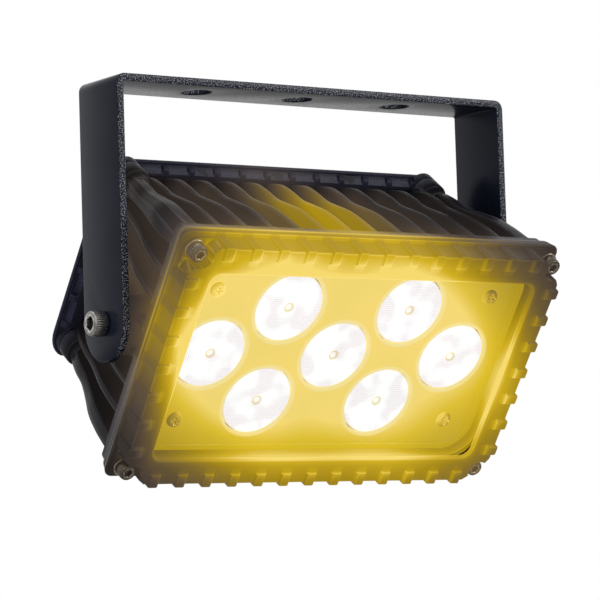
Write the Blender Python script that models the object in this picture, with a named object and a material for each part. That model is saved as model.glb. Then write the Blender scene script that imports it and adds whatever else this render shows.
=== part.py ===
"""LED floodlight that hangs from a U bracket: a finned die-cast head with a glazed front.

The origin is the centre of the middle hanging hole, on the bracket's top face. +Z is up, and
the lamp shines towards -Y, so +X is on the right for someone who looks at its front.
The head is modelled about its own centre, square to the axes, and is then turned about the
tilt axis that runs through the bracket's arms. Lengths are in millimetres; MM makes them metres.
"""
import math

import bmesh
import bpy

MM = 0.001
GAP = 0.3                      # space left between pieces that touch
CORNER_STEPS = 4               # facets in a quarter of a rounded outline
LARGE_STEPS = 24               # facets round bosses and hanging holes
ROUND_STEPS = 16               # facets round most turned pieces
SCREW_STEPS = 12               # facets round M4 screws, their holes and the glands
SMALL_STEPS = 8                # facets round M3 screws, their holes and the diodes

# Hanging bracket, bent from flat strap
STRAP_WIDTH = 30.0
STRAP_THICK = 3.0
BRACKET_HALF = 93.0            # outer half width
BEND_RADIUS = 3.75             # outside of the bends
PIVOT_DROP = 95.5              # top face to the tilt axis
HANG_HOLE_RADIUS = 6.0
HANG_HOLE_PITCH = 48.0
END_STEPS = 6

# Tilt joint
TILT = math.radians(36.0)      # front turned down from level
HEAD_LIFT = 1.5                # head centre above the tilt axis
LOCK_RADIUS = 3.0              # M6 shank
LOCK_HEAD_RADIUS = 5.0
LOCK_HEAD_HEIGHT = 6.0
LOCK_REACH = 73.5              # inner end of the shank
LOCK_KEY = (5.0, 3.0)          # across the flats, and depth
KNURLS = 16
CLEARANCE = 0.3                # radial, of a shank in its hole
PIVOT_BOSS_RADIUS = 12.0
PIVOT_BOSS_FACE = 88.3
PIVOT_BOSS_ROOT = 74.5
DISC_RADIUS = 11.0

# Heat sink: the finned envelope as (y, half height, half width), from the rear forwards
FIN_STATIONS = (
    (47.2, 38.2, 73.0),
    (42.5, 40.9, 75.7),
    (36.0, 43.4, 77.6),
    (23.0, 45.0, 79.7),
    (9.0, 48.8, 82.6),
    (-3.0, 50.7, 84.6),
    (-17.0, 51.95, 85.65),
)
BODY_REAR = 47.2
BODY_FRONT = -15.7
ROOT_REAR = (36.0, 71.5)       # half height and half width of the groove floors
ROOT_FRONT = (43.5, 77.5)
TOP_FINS = 12
TOP_PITCH = 12.1
SIDE_FINS = 6
SIDE_PITCH = 12.5
FIN_TIP = 2.6
FIN_ROOT = 3.6
CORNER_BLOCK = (42.5, 75.9)    # where the solid corners start, in z and x
CORNER_CHAMFER = (1.5, 4.0)    # at the rear and at the front
BLOCK_DRAFT = 0.5
BLOCK_LAP = 1.0                # least overlap of a corner block with the body inside the grooves

# Flange, collar and pockets as (y, half width, half height, corner radius)
FLANGE = ((-15.7, 85.7, 52.0, 5.5), (-19.4, 86.2, 52.5, 5.8), (-20.2, 86.9, 53.3, 6.2),
          (-22.2, 87.4, 53.8, 6.5))
COLLAR = ((-21.0, 82.9, 45.9, 14.4), (-27.3, 82.9, 45.9, 14.4))
FRONT_POCKET = ((-28.0, 81.3, 44.3, 13.0), (-20.9, 81.3, 44.3, 13.0),
                (-20.9, 73.5, 39.8, 9.0), (-9.0, 73.5, 39.8, 9.0))
REAR_POCKET = ((-3.0, 68.3, 33.2, 6.0), (48.0, 68.3, 33.2, 6.0))
FRAME_GROOVE = ((-22.6, 84.0, 47.0, 15.5), (-22.6, 85.6, 48.6, 17.1),
                (-20.7, 85.6, 48.6, 17.1), (-20.7, 84.0, 47.0, 15.5))
FRAME_GASKET = ((-22.2, 84.3, 47.3, 15.8), (-22.2, 85.3, 48.3, 16.8),
                (-21.0, 85.3, 48.3, 16.8), (-21.0, 84.3, 47.3, 15.8))
WIRE_HOLE = (0.0, -29.0, 3.2)  # x, z and radius
WIRE_CUT = (-9.5, -2.5)        # through the middle wall
FRAME_TAP = (-16.4, -23.0)     # ends of the blind holes for the frame screws
REAR_TAP = (40.0, 48.0)
TRAY_TAP = (-12.5, -22.0)
DRIVER_TAP = (0.5, 6.5)
PIVOT_TAP = (72.5, 89.0)

# Front frame, as a closed section (y, half width, half height, corner radius)
FRAME_SECTION = (
    (-22.5, 87.6, 53.8, 6.5),
    (-25.5, 88.8, 54.4, 7.0),
    (-26.1, 88.5, 54.1, 6.7),
    (-26.5, 87.8, 53.2, 6.0),
    (-34.9, 87.3, 52.5, 5.5),
    (-35.3, 86.9, 52.1, 5.1),
    (-35.3, 77.0, 42.0, 5.2),
    (-34.4, 76.3, 41.3, 4.5),
    (-33.3, 76.3, 41.3, 4.5),
    (-33.3, 83.2, 46.2, 14.7),
    (-22.5, 83.2, 46.2, 14.7),
)
PAD_FRONT = -36.5
PAD_LENGTH = 5.6               # of each rib's foot on the front face
RIB_ROOT_Y = -25.6
RIB_FLOOR_Y = -34.5
RIB_HALF = 1.7                 # half width of a rib's outer face
RIB_DRAFT = 1.0                # what each side gains at the root
TOP_RIBS = 13
SIDE_RIBS = 7
RIB_SIDE = (88.5, 88.3, 85.8)  # half width at the rim, at the front, and inside the skirt
RIB_TOP = (54.1, 53.6, 51.0)   # the same in height
SEAT_Y = -28.2                 # floor of the scooped corners
SCOOP_RADIUS = 4.7
SCOOP_ARC = range(155, 296, 20)  # degrees round the screw
SCOOP_TOP = ((75.4, 60.0), (75.4, 53.2), (77.0, 51.9))
SCOOP_SIDE = ((86.6, 42.4), (87.4, 40.6), (95.0, 40.6), (95.0, 60.0))
SCOOP_CUT = (SEAT_Y, -40.0)
FRAME_BORE = (-22.0, -29.0)

# Screws
FRAME_SCREW_AT = (83.4, 48.4)
FRAME_WASHER = (4.2, 0.6)
REAR_SCREW_AT = (72.4, 38.5)
M4_RADIUS = 2.0
M4_HOLE = M4_RADIUS + CLEARANCE
M4_HEAD = (3.5, 4.0)           # radius and height
M4_KEY = (3.0, 2.2)
FRAME_SCREW_TIP = -16.8
REAR_SCREW_TIP = 40.4
TRAY_SCREW_AT = (64.8, 29.3)
TRAY_POST = ((3.8, -8.0), (3.8, -20.9))
DRIVER_POST_AT = (48.0, 18.0)
DRIVER_POST = ((3.0, -4.0), (3.0, 5.7))
M3_RADIUS = 1.5
M3_HOLE = M3_RADIUS + CLEARANCE
TRAY_SCREW_HEAD = (3.3, 2.0)
CROSS_RECESS = (1.8, 0.4, 1.1)  # half length and half width of an arm, and depth
TRAY_SCREW_ENDS = (-23.0, -13.0)  # under the head, and the tip
DRIVER_SCREW_ENDS = (7.9, 1.0)
REAR_BOSS_RADIUS = 6.7
REAR_BOSS = ((5.0, 36.5), (REAR_BOSS_RADIUS, 38.6), (REAR_BOSS_RADIUS, 46.9))

# Glazing
GLASS = ((-31.6, 82.7, 45.7, 14.2), (-27.6, 82.7, 45.7, 14.2))
GLASS_GASKET = ((-33.0, 78.2, 43.0, 9.0), (-33.0, 82.7, 45.7, 14.2),
                (-31.9, 82.7, 45.7, 14.2), (-31.9, 78.2, 43.0, 9.0))

# Lamp module
TRAY = ((-21.2, 80.8, 43.8, 12.5), (-23.2, 80.8, 43.8, 12.5),
        (-23.2, 78.6, 41.6, 10.3), (-22.7, 78.4, 41.4, 10.1))
LENS_CENTRES = ((-57.5, 0.0), (0.0, 0.0), (57.5, 0.0),
                (-28.75, 21.25), (28.75, 21.25), (-28.75, -21.25), (28.75, -21.25))
LENS_SECTION = ((1.9, -21.7), (2.3, -22.3), (14.6, -22.3), (15.0, -21.9), (15.0, -20.4),
                (6.6, -12.0), (4.2, -12.0), (3.8, -15.4))
LENS_HOLE = 15.3
TRAY_CUT = (-20.0, -24.0)
LED_SECTION = ((0.9, -13.9), (1.8, -13.2), (2.4, -12.9), (2.4, -12.0))
BOARD = ((-10.1, 70.0, 25.2, 3.0), (-11.7, 70.0, 25.2, 3.0))
THERMAL_PAD = ((-9.3, 69.0, 24.2, 2.0), (-9.8, 69.0, 24.2, 2.0))

# Driver, on posts behind the body's middle wall
DRIVER_BOARD = ((6.0, 54.0, 23.0, 2.0), (7.6, 54.0, 23.0, 2.0))
DRIVER_BOARD_CUT = (5.0, 9.0)
TRANSFORMER = ((7.9, 16.0, 13.0, 1.5), (27.0, 16.0, 13.0, 1.5))
TRANSFORMER_AT = (-16.0, 2.0)
CAPACITOR = (9.0, 7.9, 32.0)   # radius, foot and top
CAPACITOR_AT = (17.0, 4.0)
TERMINALS = ((7.9, 5.5, 11.0, 0.8), (18.0, 5.5, 11.0, 0.8))
TERMINALS_AT = (38.0, 0.0)

# Rear cover
COVER = ((47.5, 76.2, 39.6, 7.3), (50.8, 78.9, 42.3, 7.3), (50.8, 79.9, 43.3, 7.3),
         (51.2, 80.2, 43.6, 7.5), (52.3, 80.2, 43.6, 7.5), (53.0, 79.6, 42.9, 6.9),
         (53.0, 66.0, 38.0, 6.0), (56.5, 64.5, 36.5, 5.0))
COVER_HOLLOW = ((47.0, 62.0, 31.5, 4.5), (53.5, 62.0, 31.5, 4.5))
COVER_GROOVE = ((47.4, 68.9, 33.7, 5.0), (47.4, 70.7, 35.5, 5.0),
                (48.9, 70.7, 35.5, 5.0), (48.9, 68.9, 33.7, 5.0))
COVER_GASKET = ((47.5, 69.2, 34.0, 5.0), (47.5, 70.4, 35.2, 5.0),
                (48.6, 70.4, 35.2, 5.0), (48.6, 69.2, 34.0, 5.0))
WEDGE = ((-4.0, 47.7), (0.1, 47.7), (1.9, 48.3), (2.7, 49.4), (3.0, 51.0), (-4.0, 51.0))
WEDGE_TOP = 39.6               # half height that the reaches in WEDGE start from
WEDGE_SIDE = 76.2              # the same in width
COVER_SEAT = 50.4              # floor of the counterbores
COVER_SINK = (4.2, 54.0)       # their radius, and where the cutter ends
COVER_BOSS = (47.5, 51.0)
COVER_BORE = 47.0              # where the screw holes start
GLAND_CUT = (53.0, 57.0)

# Cable glands, M16
GLAND_AT = (35.0, -20.0)
GLAND_THREAD = 7.9
GLAND_BODY = ((4.4, 50.5), (7.9, 50.5), (7.9, 56.8), ("hexagon", 56.8), ("hexagon", 61.8),
              (7.0, 61.8), (7.0, 66.0), (4.4, 66.0))
GLAND_FLATS = 19.0
GLAND_NUT = ((7.3, 62.1), (10.0, 62.1), (10.0, 69.0), (8.6, 73.0), (6.2, 74.5),
             (4.6, 74.5), (4.6, 71.3), (7.3, 69.2))
GLAND_SEAL = ((3.5, 66.3), (7.0, 66.3), (7.0, 69.0), (4.3, 71.1), (4.3, 75.0), (3.5, 75.0))


def clear_scene():
    """Remove every object that is already in the scene."""
    for thing in list(bpy.data.objects):
        bpy.data.objects.remove(thing, do_unlink=True)


def finish(name, colour, roughness, metallic):
    """Return a new Principled material of one colour."""
    material = bpy.data.materials.new(name)
    material.use_nodes = True
    shader = material.node_tree.nodes["Principled BSDF"]
    shader.inputs["Base Color"].default_value = (*colour, 1.0)
    shader.inputs["Roughness"].default_value = roughness
    shader.inputs["Metallic"].default_value = metallic
    return material


def empty(name, location, tilt=0.0, parent=None):
    """Return an empty at a place in millimetres, turned about X by tilt."""
    thing = bpy.data.objects.new(name, None)
    thing.location = [MM * value for value in location]
    thing.rotation_euler.x = tilt
    thing.parent = parent
    bpy.context.scene.collection.objects.link(thing)
    return thing


def rounded(y, half_x, half_z, radius, centre=(0.0, 0.0)):
    """Return the points of a rectangle with round corners, square to Y, in millimetres."""
    points = []
    for corner, (sign_x, sign_z) in enumerate(((1, 1), (-1, 1), (-1, -1), (1, -1))):
        for step in range(CORNER_STEPS + 1):
            angle = 0.5 * math.pi * (corner + step / CORNER_STEPS)
            points.append((centre[0] + sign_x * (half_x - radius) + radius * math.cos(angle), y,
                           centre[1] + sign_z * (half_z - radius) + radius * math.sin(angle)))
    return points


def hexagon(flats, angle):
    """Return the distance from the centre of a hexagon to its edge at an angle."""
    sector = math.radians(60.0)
    return 0.5 * flats / math.cos((angle % sector) - 0.5 * sector)


def cross(length, width, angle):
    """Return the distance from the centre of a cross-shaped recess to its edge at an angle."""
    along = max(abs(math.cos(angle)), 1e-6)
    across = max(abs(math.sin(angle)), 1e-6)
    return max(min(length / along, width / across), min(width / along, length / across))


def turned_ring(radius, place, centre, steps, axis):
    """Return the points of one ring about the Y or X axis; radius may depend on the angle."""
    points = []
    for step in range(steps):
        angle = 2.0 * math.pi * step / steps
        reach = radius(angle, step) if callable(radius) else radius
        a = centre[0] + reach * math.cos(angle)
        b = centre[1] + reach * math.sin(angle)
        points.append((a, place, b) if axis == "Y" else (place, a, b))
    return points


def skin(bm, rings, closed=False):
    """Join rings of equal length with quads, capping both ends unless the skin closes on itself."""
    loops = [[bm.verts.new([MM * value for value in point]) for point in ring] for ring in rings]
    followers = loops[1:] + ([loops[0]] if closed else [])
    for loop, follower in zip(loops, followers):
        for index in range(len(loop)):
            ahead = (index + 1) % len(loop)
            bm.faces.new((loop[index], loop[ahead], follower[ahead], follower[index]))
    if not closed:
        bm.faces.new(loops[0])
        bm.faces.new(loops[-1])


def rounded_skin(bm, section, closed=False, centre=(0.0, 0.0)):
    """Skin a list of (y, half width, half height, corner radius)."""
    skin(bm, [rounded(*station, centre=centre) for station in section], closed)


def lathe(bm, section, centre, steps=ROUND_STEPS, axis="Y", closed=False):
    """Turn a list of (radius, place along the axis) about an axis through centre."""
    skin(bm, [turned_ring(radius, place, centre, steps, axis) for radius, place in section], closed)


def body(name, bm, material, parent=None):
    """Turn a finished bmesh into a named object."""
    bmesh.ops.recalc_face_normals(bm, faces=bm.faces)
    mesh = bpy.data.meshes.new(name)
    bm.to_mesh(mesh)
    bm.free()
    thing = bpy.data.objects.new(name, mesh)
    thing.parent = parent
    mesh.materials.append(material)
    mesh.shade_smooth()
    mesh.set_sharp_from_angle(angle=math.radians(35.0))
    bpy.context.scene.collection.objects.link(thing)
    return thing


def combine(target, bm, operation, label):
    """Add a Boolean to target whose hidden operand is the given bmesh."""
    operand = body(f"{target.name}_{label}", bm, target.data.materials[0], target.parent)
    operand.hide_render = True
    operand.display_type = "WIRE"
    modifier = target.modifiers.new(label, "BOOLEAN")
    modifier.object = operand
    modifier.operation = operation
    modifier.solver = "EXACT"


def four(place):
    """Return a place (x, z) in the four corners."""
    return [(sign_x * place[0], sign_z * place[1]) for sign_z in (1, -1) for sign_x in (-1, 1)]


def spread(count, pitch):
    """Return count positions a pitch apart, centred on zero."""
    return [pitch * (index - 0.5 * (count - 1)) for index in range(count)]


def make_bracket(material):
    """Strap bent to a U, with round lower ends, three hanging holes and two pivot holes."""
    half = 0.5 * STRAP_WIDTH
    sections = []                       # (outer x, outer z, inner x, inner z, half width)
    step = 0.5 * math.pi / (END_STEPS + 0.5)
    for index in range(END_STEPS, -1, -1):
        drop = -PIVOT_DROP - half * math.sin(step * index)
        sections.append((BRACKET_HALF, drop, BRACKET_HALF - STRAP_THICK, drop,
                         half * math.cos(step * index)))
    centre = (BRACKET_HALF - BEND_RADIUS, -BEND_RADIUS)
    inner = BEND_RADIUS - STRAP_THICK
    for index in range(CORNER_STEPS + 1):
        angle = 0.5 * math.pi * index / CORNER_STEPS
        sections.append((centre[0] + BEND_RADIUS * math.cos(angle),
                         centre[1] + BEND_RADIUS * math.sin(angle),
                         centre[0] + inner * math.cos(angle),
                         centre[1] + inner * math.sin(angle), half))
    sections += [(-a, b, -c, d, width) for a, b, c, d, width in reversed(sections)]
    bm = bmesh.new()
    skin(bm, [[(a, -width, b), (a, width, b), (c, width, d), (c, -width, d)]
              for a, b, c, d, width in sections])
    bracket = body("hanging_bracket", bm, material)
    bm = bmesh.new()
    for x in (-HANG_HOLE_PITCH, 0.0, HANG_HOLE_PITCH):
        ring = [(x + HANG_HOLE_RADIUS * math.cos(math.tau * i / LARGE_STEPS),
                 HANG_HOLE_RADIUS * math.sin(math.tau * i / LARGE_STEPS))
                for i in range(LARGE_STEPS)]
        skin(bm, [[(a, b, z) for a, b in ring] for z in (-STRAP_THICK - 1.0, 1.0)])
    for side in (-1, 1):
        ends = [side * (BRACKET_HALF - STRAP_THICK - 1.0), side * (BRACKET_HALF + 1.0)]
        lathe(bm, [(LOCK_RADIUS + CLEARANCE, end) for end in ends], (0.0, -PIVOT_DROP), axis="X")
    combine(bracket, bm, "DIFFERENCE", "holes")


def make_tilt_joint(steel, nylon, tilt_axis):
    """Knurled cap screw outside each arm, friction disc inside it."""
    base = BRACKET_HALF + GAP
    top = base + LOCK_HEAD_HEIGHT
    bore = LOCK_RADIUS + CLEARANCE

    def knurled(scale):
        return lambda angle, step: scale * (LOCK_HEAD_RADIUS - 0.25 * (step % 2))

    def key(angle, step):
        return hexagon(LOCK_KEY[0], angle)

    for side, label in ((-1, "left"), (1, "right")):
        section = [(LOCK_RADIUS - 0.5, LOCK_REACH), (LOCK_RADIUS, LOCK_REACH + 0.6),
                   (LOCK_RADIUS, base), (knurled(0.94), base), (knurled(1.0), base + 0.4),
                   (knurled(1.0), top - 0.5), (LOCK_HEAD_RADIUS - 0.7, top), (key, top),
                   (key, top - LOCK_KEY[1])]
        bm = bmesh.new()
        lathe(bm, [(radius, side * place) for radius, place in section], (0.0, 0.0),
              2 * KNURLS, "X")
        body(f"{label}_lock_screw", bm, steel, tilt_axis)
        bm = bmesh.new()
        face = PIVOT_BOSS_FACE + GAP
        arm = BRACKET_HALF - STRAP_THICK - GAP
        section = [(bore, face), (DISC_RADIUS, face), (DISC_RADIUS, arm), (bore, arm)]
        lathe(bm, [(radius, side * place) for radius, place in section], (0.0, 0.0),
              axis="X", closed=True)
        body(f"{label}_friction_disc", bm, nylon, tilt_axis)


def fin_outline(y, tip_z, tip_x):
    """Return the crenellated outline of the heat sink at one station."""
    share = (BODY_REAR - y) / (BODY_REAR - BODY_FRONT)
    root_z, root_x = (rear + share * (front - rear) for rear, front in zip(ROOT_REAR, ROOT_FRONT))
    chamfer = CORNER_CHAMFER[0] + share * (CORNER_CHAMFER[1] - CORNER_CHAMFER[0])
    block_z = min(CORNER_BLOCK[0], root_z - BLOCK_LAP)
    block_x = min(CORNER_BLOCK[1], root_x - BLOCK_LAP)
    outline = []
    for x in reversed(spread(TOP_FINS, TOP_PITCH)):
        outline += [(x + 0.5 * FIN_ROOT, root_z), (x + 0.5 * FIN_TIP, tip_z),
                    (x - 0.5 * FIN_TIP, tip_z), (x - 0.5 * FIN_ROOT, root_z)]
    corner = [(-block_x + BLOCK_DRAFT, root_z), (-block_x, tip_z), (-tip_x + chamfer, tip_z),
              (-tip_x, tip_z - chamfer), (-tip_x, block_z), (-root_x, block_z - BLOCK_DRAFT)]
    outline += corner
    for z in reversed(spread(SIDE_FINS, SIDE_PITCH)):
        outline += [(-root_x, z + 0.5 * FIN_ROOT), (-tip_x, z + 0.5 * FIN_TIP),
                    (-tip_x, z - 0.5 * FIN_TIP), (-root_x, z - 0.5 * FIN_ROOT)]
    outline += [(x, -z) for x, z in reversed(corner)]
    outline += [(-x, -z) for x, z in outline]
    return [(x, y, z) for x, z in outline]


def make_housing(material, head):
    """Finned body with its flange, collar, bosses, two pockets and screw holes."""
    bm = bmesh.new()
    skin(bm, [fin_outline(*station) for station in FIN_STATIONS])
    housing = body("heat_sink_housing", bm, material, head)
    bm = bmesh.new()
    rounded_skin(bm, FLANGE)
    combine(housing, bm, "UNION", "flange")
    bm = bmesh.new()
    rounded_skin(bm, COLLAR)
    combine(housing, bm, "UNION", "collar")
    bm = bmesh.new()
    for place in four(REAR_SCREW_AT):
        lathe(bm, REAR_BOSS, place)
    for side in (-1, 1):
        lathe(bm, [(PIVOT_BOSS_RADIUS, side * end) for end in (PIVOT_BOSS_ROOT, PIVOT_BOSS_FACE)],
              (0.0, -HEAD_LIFT), LARGE_STEPS, "X")
    combine(housing, bm, "UNION", "bosses")
    bm = bmesh.new()
    rounded_skin(bm, FRONT_POCKET)
    rounded_skin(bm, REAR_POCKET)
    combine(housing, bm, "DIFFERENCE", "pockets")
    bm = bmesh.new()
    for place in four(TRAY_SCREW_AT):
        lathe(bm, TRAY_POST, place, SMALL_STEPS)
    for place in four(DRIVER_POST_AT):
        lathe(bm, DRIVER_POST, place, SMALL_STEPS)
    combine(housing, bm, "UNION", "posts")
    bm = bmesh.new()
    add_bores(bm, M4_HOLE, FRAME_TAP, four(FRAME_SCREW_AT), SCREW_STEPS)
    add_bores(bm, M4_HOLE, REAR_TAP, four(REAR_SCREW_AT), SCREW_STEPS)
    add_bores(bm, M3_HOLE, TRAY_TAP, four(TRAY_SCREW_AT), SMALL_STEPS)
    add_bores(bm, M3_HOLE, DRIVER_TAP, driver_screw_places(), SMALL_STEPS)
    add_bores(bm, WIRE_HOLE[2], WIRE_CUT, [WIRE_HOLE[:2]], SCREW_STEPS)
    for side in (-1, 1):
        lathe(bm, [(LOCK_RADIUS + CLEARANCE, side * end) for end in PIVOT_TAP],
              (0.0, -HEAD_LIFT), axis="X")
    rounded_skin(bm, FRAME_GROOVE, closed=True)
    combine(housing, bm, "DIFFERENCE", "holes")


def add_bores(bm, radius, ends, places, steps):
    """Add a cylinder along Y at each place, from one end to the other."""
    for place in places:
        lathe(bm, [(radius, end) for end in ends], place, steps)


def driver_screw_places():
    """Return the two opposite posts that hold the driver board."""
    x, z = DRIVER_POST_AT
    return [(-x, z), (x, -z)]


def add_rib(bm, along, levels, side, vertical):
    """Add one L-shaped rib that runs up the frame's skirt and over its front face.

    Levels are the rib's half distances at the rim, at the front and inside the skirt.
    """
    rim, front, inside = levels
    section = ((rim, RIB_ROOT_Y, RIB_HALF), (front, PAD_FRONT, RIB_HALF),
               (front - PAD_LENGTH, PAD_FRONT, RIB_HALF),
               (front - PAD_LENGTH - 0.4, RIB_FLOOR_Y, RIB_HALF + RIB_DRAFT),
               (inside, RIB_FLOOR_Y, RIB_HALF + RIB_DRAFT), (inside, RIB_ROOT_Y, RIB_HALF + RIB_DRAFT))
    loops = []
    for end in (-1, 1):
        points = []
        for reach, y, half in section:
            across = side * reach
            place = along + end * half
            point = (across, y, place) if vertical else (place, y, across)
            points.append(bm.verts.new([MM * value for value in point]))
        loops.append(points)
    for index in range(len(section)):
        ahead = (index + 1) % len(section)
        bm.faces.new((loops[0][index], loops[0][ahead], loops[1][ahead], loops[1][index]))
    for points in loops:
        bm.faces.new((points[0], points[1], points[4], points[5]))
        bm.faces.new((points[1], points[2], points[3], points[4]))


def scoop_outline():
    """Return the outline cut away round a frame screw, in the corner of +X and +Z."""
    x, z = FRAME_SCREW_AT
    outline = list(SCOOP_TOP)
    for degrees in SCOOP_ARC:
        angle = math.radians(degrees)
        outline.append((x + SCOOP_RADIUS * math.cos(angle), z + SCOOP_RADIUS * math.sin(angle)))
    return outline + list(SCOOP_SIDE)


def make_front_frame(material, head):
    """Bezel with ribs all round, scooped corners for the screws and a lip over the glass."""
    bm = bmesh.new()
    rounded_skin(bm, FRAME_SECTION, closed=True)
    frame = body("front_frame", bm, material, head)
    bm = bmesh.new()
    for side in (-1, 1):
        for x in spread(TOP_RIBS, TOP_PITCH):
            add_rib(bm, x, RIB_TOP, side, vertical=False)
        for z in spread(SIDE_RIBS, SIDE_PITCH):
            add_rib(bm, z, RIB_SIDE, side, vertical=True)
    combine(frame, bm, "UNION", "ribs")
    bm = bmesh.new()
    for sign_x, sign_z in four((1, 1)):
        outline = [(sign_x * x, sign_z * z) for x, z in scoop_outline()]
        skin(bm, [[(x, y, z) for x, z in outline] for y in SCOOP_CUT])
    combine(frame, bm, "DIFFERENCE", "scoops")
    bm = bmesh.new()
    add_bores(bm, M4_HOLE, FRAME_BORE, four(FRAME_SCREW_AT), SCREW_STEPS)
    combine(frame, bm, "DIFFERENCE", "holes")


def make_socket_screw(name, material, head, place, base, tip, outwards):
    """Socket cap screw of size M4 along Y; outwards is the sign of its head's direction."""
    radius, height = M4_HEAD
    top = base + outwards * height

    def key(angle, step):
        return hexagon(M4_KEY[0], angle)

    bm = bmesh.new()
    lathe(bm, [(M4_RADIUS - 0.4, tip), (M4_RADIUS, tip + outwards * 0.5), (M4_RADIUS, base),
               (radius, base), (radius, top - outwards * 0.4), (radius - 0.4, top), (key, top),
               (key, top - outwards * M4_KEY[1])], place, SCREW_STEPS)
    body(name, bm, material, head)


def make_cross_screw(name, material, head, place, base, tip, outwards):
    """Pan head cross-recess screw of size M3 along Y."""
    radius, height = TRAY_SCREW_HEAD
    arm, half_width, depth = CROSS_RECESS
    top = base + outwards * height

    def recess(angle, step):
        return cross(arm, half_width, angle)

    bm = bmesh.new()
    lathe(bm, [(M3_RADIUS, tip), (M3_RADIUS, base), (radius, base),
               (radius, base + outwards * 0.9), (0.8 * radius, top), (recess, top),
               (recess, top - outwards * depth)], place, SMALL_STEPS)
    body(name, bm, material, head)


def make_front_fasteners(steel, head):
    """Washer and cap screw in each scooped corner of the frame."""
    washer_radius, washer_thick = FRAME_WASHER
    rear = SEAT_Y - GAP
    front = rear - washer_thick
    section = [(M4_HOLE, rear), (washer_radius, rear), (washer_radius, front), (M4_HOLE, front)]
    for number, place in enumerate(four(FRAME_SCREW_AT), 1):
        bm = bmesh.new()
        lathe(bm, section, place, SCREW_STEPS, closed=True)
        body(f"frame_washer_{number}", bm, steel, head)
        make_socket_screw(f"frame_screw_{number}", steel, head, place, front - GAP,
                          FRAME_SCREW_TIP, -1)


def make_glazing(glass, rubber, head):
    """Front glass with the seal before it, and the seal between frame and body."""
    bm = bmesh.new()
    rounded_skin(bm, GLASS)
    body("front_glass", bm, glass, head)
    for name, section in (("glass_gasket", GLASS_GASKET), ("frame_gasket", FRAME_GASKET)):
        bm = bmesh.new()
        rounded_skin(bm, section, closed=True)
        body(name, bm, rubber, head)


def make_lamp_module(finishes, head):
    """Reflector tray, lenses, light-emitting diodes, their board and the pad under it."""
    bm = bmesh.new()
    rounded_skin(bm, TRAY)
    tray = body("lens_tray", bm, finishes["tray"], head)
    bm = bmesh.new()
    add_bores(bm, LENS_HOLE, TRAY_CUT, LENS_CENTRES, LARGE_STEPS)
    add_bores(bm, M3_HOLE, TRAY_CUT, four(TRAY_SCREW_AT), SMALL_STEPS)
    combine(tray, bm, "DIFFERENCE", "holes")
    for number, place in enumerate(four(TRAY_SCREW_AT), 1):
        make_cross_screw(f"tray_screw_{number}", finishes["steel"], head, place,
                         *TRAY_SCREW_ENDS, -1)
    for number, place in enumerate(LENS_CENTRES, 1):
        bm = bmesh.new()
        lathe(bm, LENS_SECTION, place)
        body(f"lens_{number}", bm, finishes["lens"], head)
        bm = bmesh.new()
        lathe(bm, LED_SECTION, place, SMALL_STEPS)
        body(f"led_{number}", bm, finishes["led"], head)
    bm = bmesh.new()
    rounded_skin(bm, BOARD)
    body("led_board", bm, finishes["board"], head)
    bm = bmesh.new()
    rounded_skin(bm, THERMAL_PAD)
    body("thermal_pad", bm, finishes["pad"], head)


def make_driver(finishes, head):
    """Driver board on its posts, with its transformer, capacitor and terminals."""
    blocks = (("driver_board", DRIVER_BOARD, (0.0, 0.0), "circuit"),
              ("driver_transformer", TRANSFORMER, TRANSFORMER_AT, "core"),
              ("terminal_block", TERMINALS, TERMINALS_AT, "terminal"))
    for name, section, centre, key in blocks:
        bm = bmesh.new()
        rounded_skin(bm, section, centre=centre)
        thing = body(name, bm, finishes[key], head)
        if name == "driver_board":
            bm = bmesh.new()
            add_bores(bm, M3_HOLE, DRIVER_BOARD_CUT, driver_screw_places(), SMALL_STEPS)
            combine(thing, bm, "DIFFERENCE", "holes")
    radius, foot, top = CAPACITOR
    bm = bmesh.new()
    lathe(bm, [(radius, foot), (radius, top - 0.6), (radius - 0.6, top)], CAPACITOR_AT)
    body("driver_capacitor", bm, finishes["can"], head)
    for number, place in enumerate(driver_screw_places(), 1):
        make_cross_screw(f"driver_screw_{number}", finishes["steel"], head, place,
                         *DRIVER_SCREW_ENDS, 1)


def add_wedge(bm, along, level, side, vertical):
    """Add one short rib that carries a fin's line on to the cover's rim."""
    rings = []
    for end in (-0.5, 0.5):
        place = along + end * FIN_TIP
        rings.append([(side * (level + reach), y, place) if vertical
                      else (place, y, side * (level + reach)) for reach, y in WEDGE])
    skin(bm, rings)


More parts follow.
